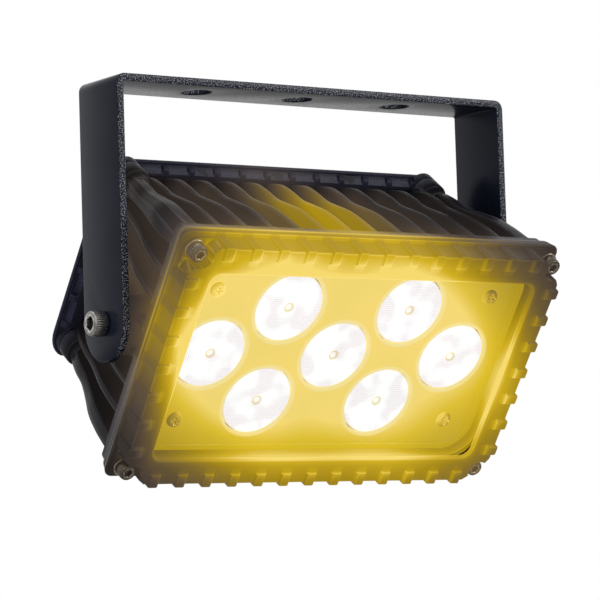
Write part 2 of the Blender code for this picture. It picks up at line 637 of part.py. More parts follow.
def make_rear_cover(material, rubber, steel, head):
    """Cover that closes the driver's compartment, with its seal and four screws."""
    bm = bmesh.new()
    rounded_skin(bm, COVER)
    cover = body("rear_cover", bm, material, head)
    bm = bmesh.new()
    for side in (-1, 1):
        for x in spread(TOP_FINS, TOP_PITCH):
            add_wedge(bm, x, WEDGE_TOP, side, vertical=False)
        for z in spread(SIDE_FINS, SIDE_PITCH):
            add_wedge(bm, z, WEDGE_SIDE, side, vertical=True)
    combine(cover, bm, "UNION", "wedges")
    bm = bmesh.new()
    add_bores(bm, REAR_BOSS_RADIUS, COVER_BOSS, four(REAR_SCREW_AT), ROUND_STEPS)
    combine(cover, bm, "UNION", "bosses")
    bm = bmesh.new()
    rounded_skin(bm, COVER_HOLLOW)
    rounded_skin(bm, COVER_GROOVE, closed=True)
    for place in four(REAR_SCREW_AT):
        lathe(bm, [(M4_HOLE, COVER_BORE), (M4_HOLE, COVER_SEAT), (COVER_SINK[0], COVER_SEAT),
                   COVER_SINK], place, SCREW_STEPS)
    combine(cover, bm, "DIFFERENCE", "hollow")
    bm = bmesh.new()
    add_bores(bm, GLAND_THREAD + CLEARANCE, GLAND_CUT,
              [(side * GLAND_AT[0], GLAND_AT[1]) for side in (-1, 1)], SCREW_STEPS)
    combine(cover, bm, "DIFFERENCE", "gland_holes")
    bm = bmesh.new()
    rounded_skin(bm, COVER_GASKET, closed=True)
    body("rear_cover_gasket", bm, rubber, head)
    for number, place in enumerate(four(REAR_SCREW_AT), 1):
        make_socket_screw(f"rear_cover_screw_{number}", steel, head, place, COVER_SEAT + GAP,
                          REAR_SCREW_TIP, 1)


def make_glands(plastic, rubber, head):
    """Two cable glands, each with a body, a dome nut and a bored seal."""
    def flats(angle, step):
        return hexagon(GLAND_FLATS, angle)

    section = [(flats if radius == "hexagon" else radius, place) for radius, place in GLAND_BODY]
    for side, label in ((-1, "left"), (1, "right")):
        place = (side * GLAND_AT[0], GLAND_AT[1])
        for name, profile, material in (("gland_body", section, plastic),
                                        ("gland_nut", GLAND_NUT, plastic),
                                        ("gland_seal", GLAND_SEAL, rubber)):
            bm = bmesh.new()
            lathe(bm, profile, place, SCREW_STEPS, closed=True)
            body(f"{label}_{name}", bm, material, head)


def main():
    """Build every piece of the floodlight."""
    clear_scene()
    coat = finish("bracket_powder_coat", (0.030, 0.034, 0.048), 0.55, 0.0)
    cast = finish("housing_powder_coat", (0.016, 0.017, 0.024), 0.50, 0.0)
    steel = finish("stainless_steel", (0.62, 0.60, 0.56), 0.25, 1.0)
    nylon = finish("black_nylon", (0.02, 0.02, 0.02), 0.60, 0.0)
    rubber = finish("seal_rubber", (0.015, 0.015, 0.015), 0.80, 0.0)
    glass = finish("tempered_glass", (0.95, 0.97, 0.95), 0.05, 0.0)
    module = {
        "tray": finish("amber_lit_tray", (0.90, 0.70, 0.16), 0.35, 0.0),
        "steel": steel,
        "lens": finish("lens_acrylic", (0.98, 0.96, 0.92), 0.10, 0.0),
        "led": finish("led_silicone", (0.95, 0.80, 0.20), 0.30, 0.0),
        "board": finish("white_solder_resist", (0.85, 0.85, 0.85), 0.40, 0.0),
        "pad": finish("thermal_pad_grey", (0.45, 0.46, 0.48), 0.80, 0.0),
    }
    driver = {
        "circuit": finish("green_solder_resist", (0.03, 0.22, 0.08), 0.40, 0.0),
        "core": finish("transformer_tape", (0.70, 0.55, 0.10), 0.50, 0.0),
        "terminal": finish("terminal_green", (0.05, 0.35, 0.12), 0.45, 0.0),
        "can": finish("capacitor_sleeve", (0.02, 0.02, 0.03), 0.30, 0.0),
        "steel": steel,
    }
    tilt_axis = empty("tilt_axis", (0.0, 0.0, -PIVOT_DROP), TILT)
    head = empty("head_centre", (0.0, 0.0, HEAD_LIFT), parent=tilt_axis)
    make_bracket(coat)
    make_tilt_joint(steel, nylon, tilt_axis)
    make_housing(cast, head)
    make_rear_cover(cast, rubber, steel, head)
    make_front_frame(cast, head)
    make_front_fasteners(steel, head)
    make_glazing(glass, rubber, head)
    make_lamp_module(module, head)
    make_driver(driver, head)
    make_glands(nylon, rubber, head)


main()
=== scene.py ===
"""LED floodlight on a hanging bracket, dressed over its fixed CAD frame.

Lengths are millimetres until Placement turns them into the part's metres. What belongs to the
head is drawn about the head's own centre: x to the right, y to the rear, z up.
"""
import logging
import math
from dataclasses import dataclass
from enum import Enum
from typing import Any, Callable, Iterable, Sequence, Union

import bpy
import numpy as np
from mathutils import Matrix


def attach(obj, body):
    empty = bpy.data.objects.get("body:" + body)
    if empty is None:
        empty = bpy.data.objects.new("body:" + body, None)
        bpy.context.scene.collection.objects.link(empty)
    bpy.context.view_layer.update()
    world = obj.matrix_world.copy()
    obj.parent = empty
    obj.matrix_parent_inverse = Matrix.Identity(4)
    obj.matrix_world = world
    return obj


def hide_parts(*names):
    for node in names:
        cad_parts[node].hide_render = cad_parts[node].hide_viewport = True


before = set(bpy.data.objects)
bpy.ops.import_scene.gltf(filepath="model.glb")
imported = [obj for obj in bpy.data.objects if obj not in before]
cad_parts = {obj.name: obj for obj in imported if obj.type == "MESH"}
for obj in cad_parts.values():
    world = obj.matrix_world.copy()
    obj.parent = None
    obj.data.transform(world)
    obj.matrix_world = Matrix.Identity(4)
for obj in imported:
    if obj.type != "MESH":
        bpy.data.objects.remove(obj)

LOG = logging.getLogger("floodlight")
MM = 0.001
# Mesh attribute of how sharply each vertex stands out; finishes paint highlights and glow where it
# is high.
EDGE_MARK = "edge_highlight"
Reach = Union[float, Callable[[np.ndarray], np.ndarray]]
Profile = Sequence[tuple[Reach, float]]
Pair = tuple[float, float]
Triple = tuple[float, float, float]
Station = tuple[float, float, float, float]
Stops = Sequence[tuple[float, str]]


class Ends(Enum):
    """How the first and last rows of a skin end."""

    CAPPED = "each closed by one face"
    JOINED = "sewn to each other"


class Axis(Enum):
    """Axis that a turned piece is turned about."""

    X = "x"
    Y = "y"


@dataclass(frozen=True)
class Placement:
    """Where a sub-assembly's own millimetres lie in the part's frame.

    Attributes:
        origin: its zero point in the part's frame, in millimetres.
        tilt: its turn about X, in degrees.
    """

    origin: Triple = (0.0, 0.0, 0.0)
    tilt: float = 0.0

    def to_part(self, points: np.ndarray) -> np.ndarray:
        """Return points turned about X, moved to the origin and scaled to metres."""
        sine, cosine = math.sin(math.radians(self.tilt)), math.cos(math.radians(self.tilt))
        turn = np.array([[1.0, 0.0, 0.0], [0.0, cosine, -sine], [0.0, sine, cosine]])
        return (points @ turn.T + np.array(self.origin)) * MM


TILT = 36.0
PIVOT_DROP = 95.5
HEAD_LIFT = 1.5
FRAME_SCREW = (83.4, 48.4)
COVER_SCREW = (72.4, 38.5)
TRAY_SCREW = (64.8, 29.3)
DRIVER_POST = (48.0, 18.0)
GLANDS = ((-35.0, -20.0), (35.0, -20.0))
LENSES = ((-57.5, 0.0), (0.0, 0.0), (57.5, 0.0), (-28.75, 21.25), (28.75, 21.25),
          (-28.75, -21.25), (28.75, -21.25))
TOP_FINS = 12
TOP_PITCH = 12.1
SIDE_FINS = 6
SIDE_PITCH = 12.5
M3_BORE = 1.8
M4_BORE = 2.3
M6_BORE = 3.3
PART = Placement()
PIVOT = Placement((0.0, 0.0, -PIVOT_DROP), TILT)
HEAD = Placement((0.0, -HEAD_LIFT * math.sin(math.radians(TILT)),
                  -PIVOT_DROP + HEAD_LIFT * math.cos(math.radians(TILT))), TILT)


@dataclass(frozen=True)
class Skin:
    """Grid of points, rows by columns, that closes on itself across its columns."""

    points: np.ndarray
    ends: Ends = Ends.CAPPED

    def faces(self) -> list[list[int]]:
        """Return quads between neighbouring rows, and the end faces, all pointing outwards.

        The sum over the faces of a . (b x c) is six times the enclosed volume, and where it is
        negative every face is turned over.
        """
        rows, columns = self.points.shape[:2]
        index = np.arange(rows * columns).reshape(rows, columns)
        ends = [] if self.ends is Ends.JOINED else [index[0, ::-1], index[-1]]
        if self.ends is Ends.JOINED:
            index = np.vstack([index, index[:1]])
        ahead = np.roll(index, -1, axis=1)
        quads = np.stack([index[:-1], ahead[:-1], ahead[1:], index[1:]], axis=-1).reshape(-1, 4)
        flat = self.points.reshape(-1, 3)
        fans = [flat[quads[:, [0, 1, 2]]], flat[quads[:, [0, 2, 3]]]]
        fans += [flat[np.stack([np.full(len(end) - 2, end[0]), end[1:-1], end[2:]], axis=-1)]
                 for end in ends]
        volume = sum(float(np.einsum("ij,ij->", fan[:, 0], np.cross(fan[:, 1], fan[:, 2])))
                     for fan in fans)
        order = 1 if volume > 0.0 else -1
        return quads[:, ::order].tolist() + [end[::order].tolist() for end in ends]


def new_object(name: str, data: Any) -> bpy.types.Object:
    """Make an object of some data and link it to the scene."""
    thing = bpy.data.objects.new(name, data)
    bpy.context.scene.collection.objects.link(thing)
    return thing


def make_mesh(name: str, skins: Sequence[Skin], placement: Placement) -> bpy.types.Mesh:
    """Put skins into one new mesh, placed in the part's frame."""
    points, faces, start = [], [], 0
    for skin in skins:
        faces += [[start + corner for corner in face] for face in skin.faces()]
        points.append(skin.points.reshape(-1, 3))
        start += len(points[-1])
    mesh = bpy.data.meshes.new(name)
    mesh.from_pydata(placement.to_part(np.concatenate(points)).tolist(), [], faces)
    return mesh


def mark_edges(mesh: bpy.types.Mesh, shortest: float = 0.05, longest: float = 1.6,
               most: float = 3.0) -> None:
    """Keep on each vertex how sharply it stands out, for finishes that paint highlights and glow
    on edges.

    Where a surface is rounded with radius r, a step of length c to a neighbour, in the unit
    direction d, has -d . n / c = 1 / 2r, n being the vertex's normal. The largest counts.

    Args:
        mesh: the finished mesh.
        shortest: length in millimetres that a shorter step counts as.
        longest: length past which a step says nothing about the edge.
        most: the largest mark.
    """
    ends = np.empty(2 * len(mesh.edges), dtype=np.int32)
    points, normals = (np.empty(3 * len(mesh.vertices), dtype=np.float32) for part in range(2))
    mesh.edges.foreach_get("vertices", ends)
    mesh.vertices.foreach_get("co", points)
    mesh.vertex_normals.foreach_get("vector", normals)
    ends, points = ends.reshape(-1, 2), points.reshape(-1, 3) / MM
    ends = np.concatenate([ends, ends[:, ::-1]])
    step = points[ends[:, 1]] - points[ends[:, 0]]
    length = np.maximum(np.linalg.norm(step, axis=1), shortest)
    bend = -np.einsum("ij,ij->i", step, normals.reshape(-1, 3)[ends[:, 0]]) / length ** 2
    sharpness = np.zeros(len(points), dtype=np.float32)
    np.maximum.at(sharpness, ends[:, 0], np.where(length < longest, bend, 0.0))
    edge_highlight = mesh.attributes.new(EDGE_MARK, "FLOAT", "POINT")
    edge_highlight.data.foreach_set("value", np.minimum(sharpness, most))


@dataclass(frozen=True)
class Piece:
    """One new piece, standing in for a CAD node.

    Attributes:
        name: the piece's name.
        node: the CAD node that it replaces.
        slot: the record's material slot for it; not used.
        body: the CAD body that it moves with.
        placement: where its millimetres lie.
        crease: angle in degrees past which an edge is sharp.
    """

    name: str
    node: str
    slot: str
    body: str = "head"
    placement: Placement = HEAD
    crease: float = 40.0

    def build(self, skin: Skin, material: bpy.types.Material,
              steps: Sequence[tuple[str, Sequence[Skin]]] = ()) -> None:
        """Make the piece, add or cut what the steps say, give it its material, hang it on its body
        and hide the CAD node that it replaces.

        Args:
            skin: closed skin of the piece.
            material: its finish.
            steps: pairs of a Boolean operation and the skins of its other operand.
        """
        thing = new_object(self.name, make_mesh(self.name, [skin], self.placement))
        for operation, others in steps:
            self.combine(thing, operation, others)
        thing.data.materials.clear()
        thing.data.materials.append(material)
        thing.data.shade_smooth()
        thing.data.set_sharp_from_angle(angle=math.radians(self.crease))
        mark_edges(thing.data)
        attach(thing, self.body)
        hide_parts(self.node)
        LOG.info("%s: %d faces, for %s", self.name, len(thing.data.polygons), self.node)

    def combine(self, thing: bpy.types.Object, operation: str, skins: Sequence[Skin]) -> None:
        """Add skins to a piece or cut them from it, and keep the result as its mesh."""
        mesh = make_mesh(f"{self.name}_tool", skins, self.placement)
        tool = new_object(mesh.name, mesh)
        modifier = thing.modifiers.new("step", "BOOLEAN")
        modifier.object = tool
        modifier.operation = operation
        modifier.solver = "EXACT"
        seen = thing.evaluated_get(bpy.context.evaluated_depsgraph_get())
        result = bpy.data.meshes.new_from_object(seen)
        thing.modifiers.clear()
        old, thing.data = thing.data, result
        result.name = self.name
        bpy.data.meshes.remove(old)
        bpy.data.objects.remove(tool)
        bpy.data.meshes.remove(mesh)


def build_set(name: str, node: str, slot: str, skins: Iterable[Skin],
              material: bpy.types.Material) -> None:
    """Make like pieces of the head, one from each skin, numbered from one."""
    for number, skin in enumerate(skins, 1):
        Piece(f"{name}_{number}", f"{node}_{number}", slot).build(skin, material)


def lathe(profile: Profile, centre: Pair = (0.0, 0.0), steps: int = 48,
          axis: Axis = Axis.Y, ends: Ends = Ends.CAPPED) -> Skin:
    """Turn a profile about an axis: each row is r(a) (cos a, sin a) about the centre.

    Args:
        profile: pairs of a radius, or a radius as a function of the angle, and a place.
        centre: the other two coordinates of the axis.
        steps: points in a turn.
        axis: the axis that it is turned about.
        ends: how the two ends close.

    Returns:
        The turned skin.
    """
    angle = np.arange(steps) * 2.0 * math.pi / steps
    reach = np.array([radius(angle) if callable(radius) else np.full(steps, radius)
                      for radius, place in profile])
    place = np.repeat(np.array([[place] for radius, place in profile]), steps, axis=1)
    a = centre[0] + reach * np.cos(angle)
    b = centre[1] + reach * np.sin(angle)
    order = (a, place, b) if axis is Axis.Y else (place, a, b)
    return Skin(np.stack(order, axis=-1), ends)


def turned(profile: Profile, places: Iterable[Pair], steps: int = 48,
           ends: Ends = Ends.CAPPED) -> list[Skin]:
    """Turn a profile about an axis along y at each place (x, z)."""
    return [lathe(profile, place, steps, ends=ends) for place in places]


def bores(radius: float, reach: Pair, places: Iterable[Pair]) -> list[Skin]:
    """Return a round cutter from one depth to another at each place (x, z)."""
    return turned([(radius, depth) for depth in reach], places, 24)


def hexagon(flats: float, share: float = 1.0) -> Callable[[np.ndarray], np.ndarray]:
    """Return the reach of a hexagon: half its flats over the cosine from the nearest flat.

    A share below one pulls the corners in towards the inscribed circle.
    """
    def reach(angle: np.ndarray) -> np.ndarray:
        """Return the distance from the centre at each angle."""
        turn = np.mod(angle, math.pi / 3.0) - math.pi / 6.0
        return 0.5 * flats * (1.0 + share * (1.0 / np.cos(turn) - 1.0))
    return reach


def fluted(radius: float, depth: float, count: int) -> Callable[[np.ndarray], np.ndarray]:
    """Return the reach of a knurled or gripped rim: the radius less a wave of so many turns."""
    def reach(angle: np.ndarray) -> np.ndarray:
        """Return the distance from the centre at each angle."""
        return radius - depth * (0.5 - 0.5 * np.cos(count * angle))
    return reach


def crossed(length: float, width: float) -> Callable[[np.ndarray], np.ndarray]:
    """Return the reach of a cross: the further of two bars at right angles."""
    def reach(angle: np.ndarray) -> np.ndarray:
        """Return the distance from the centre at each angle."""
        along = np.maximum(np.abs(np.cos(angle)), 1e-6)
        across = np.maximum(np.abs(np.sin(angle)), 1e-6)
        return np.maximum(np.minimum(length / along, width / across),
                          np.minimum(width / along, length / across))
    return reach


def four(place: Pair) -> list[Pair]:
    """Return a place (x, z) in the four corners, in the order of the CAD nodes."""
    return [(across * place[0], up * place[1]) for up in (1, -1) for across in (-1, 1)]


def spread(count: int, pitch: float) -> np.ndarray:
    """Return count places a pitch apart, centred on zero."""
    return pitch * (np.arange(count) - 0.5 * (count - 1))


def smooth_curve(places: Sequence[float], values: Sequence[float], at: np.ndarray) -> np.ndarray:
    """Return a cubic through values at ascending places, with the slopes of their neighbours."""
    x, y = np.array(places), np.array(values)
    slope = np.gradient(y, x)
    cell = np.clip(np.searchsorted(x, at) - 1, 0, len(x) - 2)
    span = x[cell + 1] - x[cell]
    t = (at - x[cell]) / span
    return ((1 + 2 * t) * (1 - t) ** 2 * y[cell] + t * (1 - t) ** 2 * span * slope[cell]
            + t * t * (3 - 2 * t) * y[cell + 1] + t * t * (t - 1) * span * slope[cell + 1])


def draw_in(places: np.ndarray, limit: float, little: float = 0.95,
            start: float = 0.985) -> np.ndarray:
    """Return ascending places that fit within a limit on both sides of zero.

    Where they stick out a little, only those past a knee are drawn together, and where they
    stick out far, all are, in proportion.

    Args:
        places: the places.
        limit: how far they may reach.
        little: smallest share of their reach that leaves it at the ones past the knee.
        start: where the knee is, as a share of the limit.

    Returns:
        The new places.
    """
    share = limit / places[-1]
    if share >= 1.0:
        return places
    if share < little:
        return places * share
    knee = start * limit
    outer = np.maximum(np.abs(places) - knee, 0.0)
    inner = np.minimum(np.abs(places), knee)
    return np.sign(places) * (inner + outer * (limit - knee) / (places[-1] - knee))


@dataclass(frozen=True)
class Outline:
    """Columns round a rounded rectangle: places along its sides, and steps in its corners.

    Attributes:
        along_x: ascending places on the upper and lower sides.
        along_z: ascending places on the other two sides.
        straight: steps from the last place to where the corner's arc starts.
        arc: steps in a quarter turn.
        flat: share by which each corner's arc is pulled back to its chord.
    """

    along_x: np.ndarray
    along_z: np.ndarray
    straight: int
    arc: int
    flat: float = 0.0

    def ring(self, half_x: float, half_z: float, radius: float,
             along_x: Union[np.ndarray, None] = None,
             along_z: Union[np.ndarray, None] = None) -> tuple[np.ndarray, np.ndarray]:
        """Return the columns' places (x, z) and outward directions on one rectangle.

        A corner goes straight to its arc, (c + r cos a, d + r sin a), and straight on to the
        next side. A flat one goes over to the chord, (c + r (1 - t), d + r t), whose steps t
        crowd towards both ends.

        Args:
            half_x: half its width.
            half_z: half its height.
            radius: radius of its corners.
            along_x: places to use in this ring in place of the outline's own.
            along_z: the same for the other sides.

        Returns:
            Two arrays of columns by two.
        """
        x = self.along_x if along_x is None else along_x
        z = self.along_z if along_z is None else along_z
        x, z = draw_in(x, half_x - radius), draw_in(z, half_z - radius)
        angle = np.linspace(0.0, 0.5 * math.pi, self.arc + 1)
        chord = 0.5 - 0.5 * np.cos(2.0 * angle)
        over = radius * ((1.0 - self.flat) * np.cos(angle) + self.flat * (1.0 - chord))
        up = radius * ((1.0 - self.flat) * np.sin(angle) + self.flat * chord)
        rise = np.linspace(z[-1], half_z - radius, self.straight + 1)[1:-1]
        back = np.linspace(half_x - radius, x[-1], self.straight + 1)[1:-1]
        corner = np.concatenate([
            np.stack([np.full(len(rise), half_x), rise], axis=-1),
            np.stack([half_x - radius + over, half_z - radius + up], axis=-1),
            np.stack([back, np.full(len(back), half_z)], axis=-1)])
        facing = np.concatenate([
            np.tile([1.0, 0.0], (len(rise), 1)),
            np.stack([np.cos(angle), np.sin(angle)], axis=-1),
            np.tile([0.0, 1.0], (len(back), 1))])
        side = np.stack([np.full(len(z), half_x), z], axis=-1)
        top = np.stack([x[::-1], np.full(len(x), half_z)], axis=-1)
        half = np.concatenate([side, corner, top, corner[::-1] * (-1, 1)])
        turn = np.concatenate([np.tile([1.0, 0.0], (len(z), 1)), facing,
                               np.tile([0.0, 1.0], (len(x), 1)), facing[::-1] * (-1, 1)])
        return np.concatenate([half, -half]), np.concatenate([turn, -turn])

    def spread_over(self, on_x: np.ndarray, on_z: np.ndarray) -> np.ndarray:
        """Return one value for each column: those along the sides, and zero in the corners."""
        gap = np.zeros(self.arc + 1 + 2 * (self.straight - 1))
        half = np.concatenate([on_z, gap, on_x[::-1], gap])
        return np.concatenate([half, half])


def stack_rings(rows: Sequence[tuple[float, np.ndarray]]) -> Skin:
    """Set rings of (x, z) at their depths y and make a skin of them."""
    return Skin(np.stack([np.stack([ring[:, 0], np.full(len(ring), y), ring[:, 1]], axis=-1)
                          for y, ring in rows]))


def block(stations: Sequence[Station], centre: Pair = (0.0, 0.0), arc: int = 8) -> Skin:
    """Skin rounded rectangles given as (y, half width, half height, corner radius)."""
    few = np.linspace(-1.0, 1.0, 3)
    outline = Outline(few, few, 2, arc)
    return stack_rings([(y, outline.ring(*sizes)[0] + np.array(centre))
                        for y, *sizes in stations])


@dataclass(frozen=True)
class Screw:
    """Screw with a round head.

    Attributes:
        thread: the thread's outer radius.
        head: pairs of a reach and a height over the head's underside, into the recess.
        steps: points in a turn.
        point: radius of the tip as a share of the thread's.
        taper: length from the tip to the full thread.
    """

    thread: float
    head: tuple[tuple[Reach, float], ...]
    steps: int
    point: float = 0.8
    taper: float = 0.5

    def skins(self, base: float, tip: float, places: Iterable[Pair]) -> list[Skin]:
        """Turn the screw, from its tip along the thread and over its head into the recess.

        Args:
            base: depth of the face under its head.
            tip: depth of its tip.
            places: the screws' axes (x, z).

        Returns:
            A skin for each place.
        """
        outwards = math.copysign(1.0, base - tip)
        profile: list[tuple[Reach, float]] = [
            (self.point * self.thread, tip), (self.thread, tip + outwards * self.taper),
            (self.thread, base)]
        profile += [(reach, base + outwards * rise) for reach, rise in self.head]
        return turned(profile, places, self.steps)


M4_KNURL = fluted(3.5, 0.14, 24)
M4_CAP = Screw(2.0, (
    (3.25, 0.0), (3.4, 0.15), (M4_KNURL, 0.35), (M4_KNURL, 3.1), (3.35, 3.35), (3.3, 3.65),
    (3.05, 3.9), (2.75, 4.0), (hexagon(3.45, 0.3), 4.0), (hexagon(3.0), 3.78),
    (hexagon(3.0), 1.8), (0.4, 1.2)), 96)
M3_PAN = Screw(1.5, (
    (3.1, 0.0), (3.3, 0.2), (3.28, 0.8), (3.0, 1.4), (2.5, 1.8), (2.1, 1.95),
    (crossed(1.95, 0.55), 1.97), (crossed(1.7, 0.4), 1.6), (crossed(0.9, 0.3), 0.9)), 64)
DRIVER_SCREWS = four(DRIVER_POST)[::3]


def linear(colour: str) -> tuple[float, float, float, float]:
    """Turn an sRGB colour written as #rrggbb into linear light with full alpha."""
    parts = [int(colour[start:start + 2], 16) / 255.0 for start in (1, 3, 5)]
    light = [part / 12.92 if part <= 0.04045 else ((part + 0.055) / 1.055) ** 2.4
             for part in parts]
    return (light[0], light[1], light[2], 1.0)


class Graph:
    """Node tree of one new material, with short ways to add to it."""

    def __init__(self, name: str) -> None:
        """Make the material."""
        self.material = bpy.data.materials.new(name)
        self.material.use_nodes = True
        self.tree = self.material.node_tree
        self.shader = self.tree.nodes["Principled BSDF"]

    def fill(self, node: bpy.types.Node, inputs: dict[Any, Any]) -> None:
        """Link each input that is given a socket, and set the others."""
        for key, value in inputs.items():
            if isinstance(value, bpy.types.NodeSocket):
                self.tree.links.new(value, node.inputs[key])
            else:
                node.inputs[key].default_value = value

    def shade(self, **inputs: Any) -> None:
        """Fill the shader's sockets, named with _ for a space."""
        self.fill(self.shader, {key.replace("_", " "): value for key, value in inputs.items()})

    def add(self, kind: str, inputs: Union[dict[str, Any], Sequence[Any]] = (), output: Any = 0,
            stops: Stops = (), **settings: Any) -> bpy.types.NodeSocket:
        """Add a node with its settings and inputs.

        Args:
            kind: the node's type, without its prefix.
            inputs: values or sockets, by input name or in the order of the inputs.
            output: which output to return.
            stops: places and #rrggbb colours of a colour ramp.
            **settings: attributes of the node.

        Returns:
            The chosen output socket.
        """
        node = self.tree.nodes.new(f"ShaderNode{kind}")
        for key, value in settings.items():
            setattr(node, key, value)
        self.fill(node, inputs if isinstance(inputs, dict) else dict(enumerate(inputs)))
        for number, (place, colour) in enumerate(stops):
            elements = node.color_ramp.elements
            element = elements[number] if number < 2 else elements.new(place)
            element.position, element.color = place, linear(colour)
        return node.outputs[output]

    def own_millimetres(self, placement: Placement) -> bpy.types.NodeSocket:
        """Return object coordinates turned back into a placement's own millimetres."""
        return self.add("Mapping", {
            "Vector": self.add("TexCoord", output="Object"),
            "Location": [MM * value for value in placement.origin],
            "Rotation": (math.radians(placement.tilt), 0.0, 0.0), "Scale": (MM, MM, MM),
        }, vector_type="TEXTURE")

    def on_edges(self, high: float, span: Pair) -> bpy.types.NodeSocket:
        """Return zero on flat places, and up to high where the mesh is marked as an edge."""
        sharpness = self.add("Attribute", output="Fac", attribute_name=EDGE_MARK)
        return self.add("MapRange", (sharpness, *span, 0.0, high))

    def raise_by(self, height: bpy.types.NodeSocket, depth: float) -> None:
        """Raise the surface by a height of zero to one over a depth in millimetres."""
        self.shade(Normal=self.add("Bump", {"Height": height, "Distance": depth * MM}))


@dataclass(frozen=True)
class LampGlow:
    """Amber light that the lit lenses spread over the pieces round them.

    Each lens adds exp(-d^p), where d is the distance from its centre as seen in the frame's
    plane, measured along and across a slanting streak. It fades behind the flange, and it is
    weaker on faces that look sideways, and stronger on those that look at the middle.

    Attributes:
        lean: how far the centres move from the lenses to the frame's plane.
        slant: turn of the streak, in radians.
        spans: distance along and across it at which a lens's light falls to 1/e.
        power: the exponent p.
        gain: overall strength.
        flange: depth from which it fades.
        reach: depth behind that at which it falls to 1/e.
        haze: the same for the share of it that reaches further, and that share.
        edge: where it ends and where it is whole again, from the left.
        rear: depths between which the rest of it dies away.
        shares: what every face gets of it, and what is added where a face looks forwards,
            where it looks at the middle, and on edges.
        inward: how far a face looks away from the middle, at the most and at the least.
        sharp: marks of an edge between which its share sets in.
        streak: middle, half width and strength of the light that lies over the upper fins.
        streak_rise: heights between which that light sets in.
        streak_end: depths between which it dies away.
        stops: colours by strength.
    """

    lean: Pair = (-7.4, 6.1)
    slant: float = -0.616
    spans: Pair = (14.3, 8.3)
    power: float = 0.814
    gain: float = 3.2
    flange: float = -23.0
    reach: float = 6.0
    haze: Pair = (70.0, 0.12)
    edge: Pair = (-98.0, -76.0)
    rear: Pair = (34.0, 50.0)
    shares: tuple[float, float, float, float] = (0.7, 0.26, 0.7, 0.5)
    inward: Pair = (-50.0, 0.0)
    sharp: Pair = (0.5, 1.2)
    streak: Triple = (-7.0, 24.0, 0.40)
    streak_rise: Pair = (30.0, 46.0)
    streak_end: Pair = (16.0, 56.0)
    stops: Stops = (
        (0.0, "#000000"), (0.03, "#2b2521"), (0.08, "#4a3e33"), (0.15, "#66542f"),
        (0.36, "#a2850c"), (0.65, "#d3b01c"), (0.93, "#f6d96d"))

    def strength(self, graph: Graph, place: bpy.types.NodeSocket) -> bpy.types.NodeSocket:
        """Return the strength of the glow at a place in the head's millimetres."""
        sine, cosine = math.sin(self.slant), math.cos(self.slant)
        along = np.array([cosine, 0.0, sine]) / self.spans[0]
        across = np.array([-sine, 0.0, cosine]) / self.spans[1]
        flat = graph.add("CombineXYZ", [
            graph.add("VectorMath", (place, axis), "Value", operation="DOT_PRODUCT")
            for axis in (along, across)])
        total: Any = 0.0
        for x, z in LENSES:
            lens = np.array([x + self.lean[0], 0.0, z + self.lean[1]])
            away = graph.add("VectorMath", (flat, (lens @ along, lens @ across, 0.0)), "Value",
                             operation="DISTANCE")
            fall = graph.add("Math", (away, self.power), operation="POWER")
            light = graph.add("Math", (math.exp(-1.0), fall), operation="POWER")
            total = graph.add("Math", (light, total), operation="ADD")
        return graph.add("Math", (total, self.gain), operation="MULTIPLY")

    def nearest(self, graph: Graph, place: bpy.types.NodeSocket) -> bpy.types.NodeSocket:
        """Return how far a place is from the axis of the nearest lens, in millimetres."""
        flat = graph.add("VectorMath", (place, (1.0, 0.0, 1.0)), operation="MULTIPLY")
        least: Any = 1000.0
        for x, z in LENSES:
            away = graph.add("VectorMath", (flat, (x, 0.0, z)), "Value", operation="DISTANCE")
            least = graph.add("Math", (away, least), operation="MINIMUM")
        return least

    def fade(self, graph: Graph, place: bpy.types.NodeSocket) -> bpy.types.NodeSocket:
        """Return what is left of the glow behind the flange and towards the left edge."""
        across, depth = (graph.add("SeparateXYZ", (place,), axis) for axis in (0, 1))
        past = graph.add("Math", (depth, self.flange), operation="SUBTRACT")
        behind = graph.add("Math", (past, 0.0), operation="MAXIMUM")
        near, far = (graph.add("Math", (math.exp(-1.0 / reach), behind), operation="POWER")
                     for reach in (self.reach, self.haze[0]))
        left = graph.add("Mix", {"Factor": self.haze[1], "A": near, "B": far})
        for limit in (graph.add("MapRange", (across, *self.edge, 0.0, 1.0)),
                      graph.add("MapRange", (depth, *self.rear, 1.0, 0.0))):
            left = graph.add("Math", (left, limit), operation="MULTIPLY")
        return left

    def facing(self, graph: Graph, place: bpy.types.NodeSocket) -> bpy.types.NodeSocket:
        """Return the share that a face gets by where it looks, and that an edge gets."""
        across, height = (graph.add("SeparateXYZ", (place,), axis) for axis in (0, 2))
        normal = graph.add("TexCoord", output="Normal")
        sideways = graph.add("SeparateXYZ", (normal,))
        sine, cosine = math.sin(math.radians(TILT)), math.cos(math.radians(TILT))
        front, upward = (
            graph.add("VectorMath", (normal, axis), "Value", operation="DOT_PRODUCT")
            for axis in ((0.0, -cosine, -sine), (0.0, -sine, cosine)))
        outward = graph.add("Math", (sideways, across), operation="MULTIPLY")
        outward = graph.add("Math", (upward, height, outward), operation="MULTIPLY_ADD")
        always, forwards, inwards, on_edge = self.shares
        total = graph.add("Math", (front, 0.0), operation="MAXIMUM")
        total = graph.add("Math", (total, forwards, always), operation="MULTIPLY_ADD")
        for extra in (graph.add("MapRange", (outward, *self.inward, inwards, 0.0)),
                      graph.on_edges(on_edge, self.sharp)):
            total = graph.add("Math", (total, extra), operation="ADD")
        return total

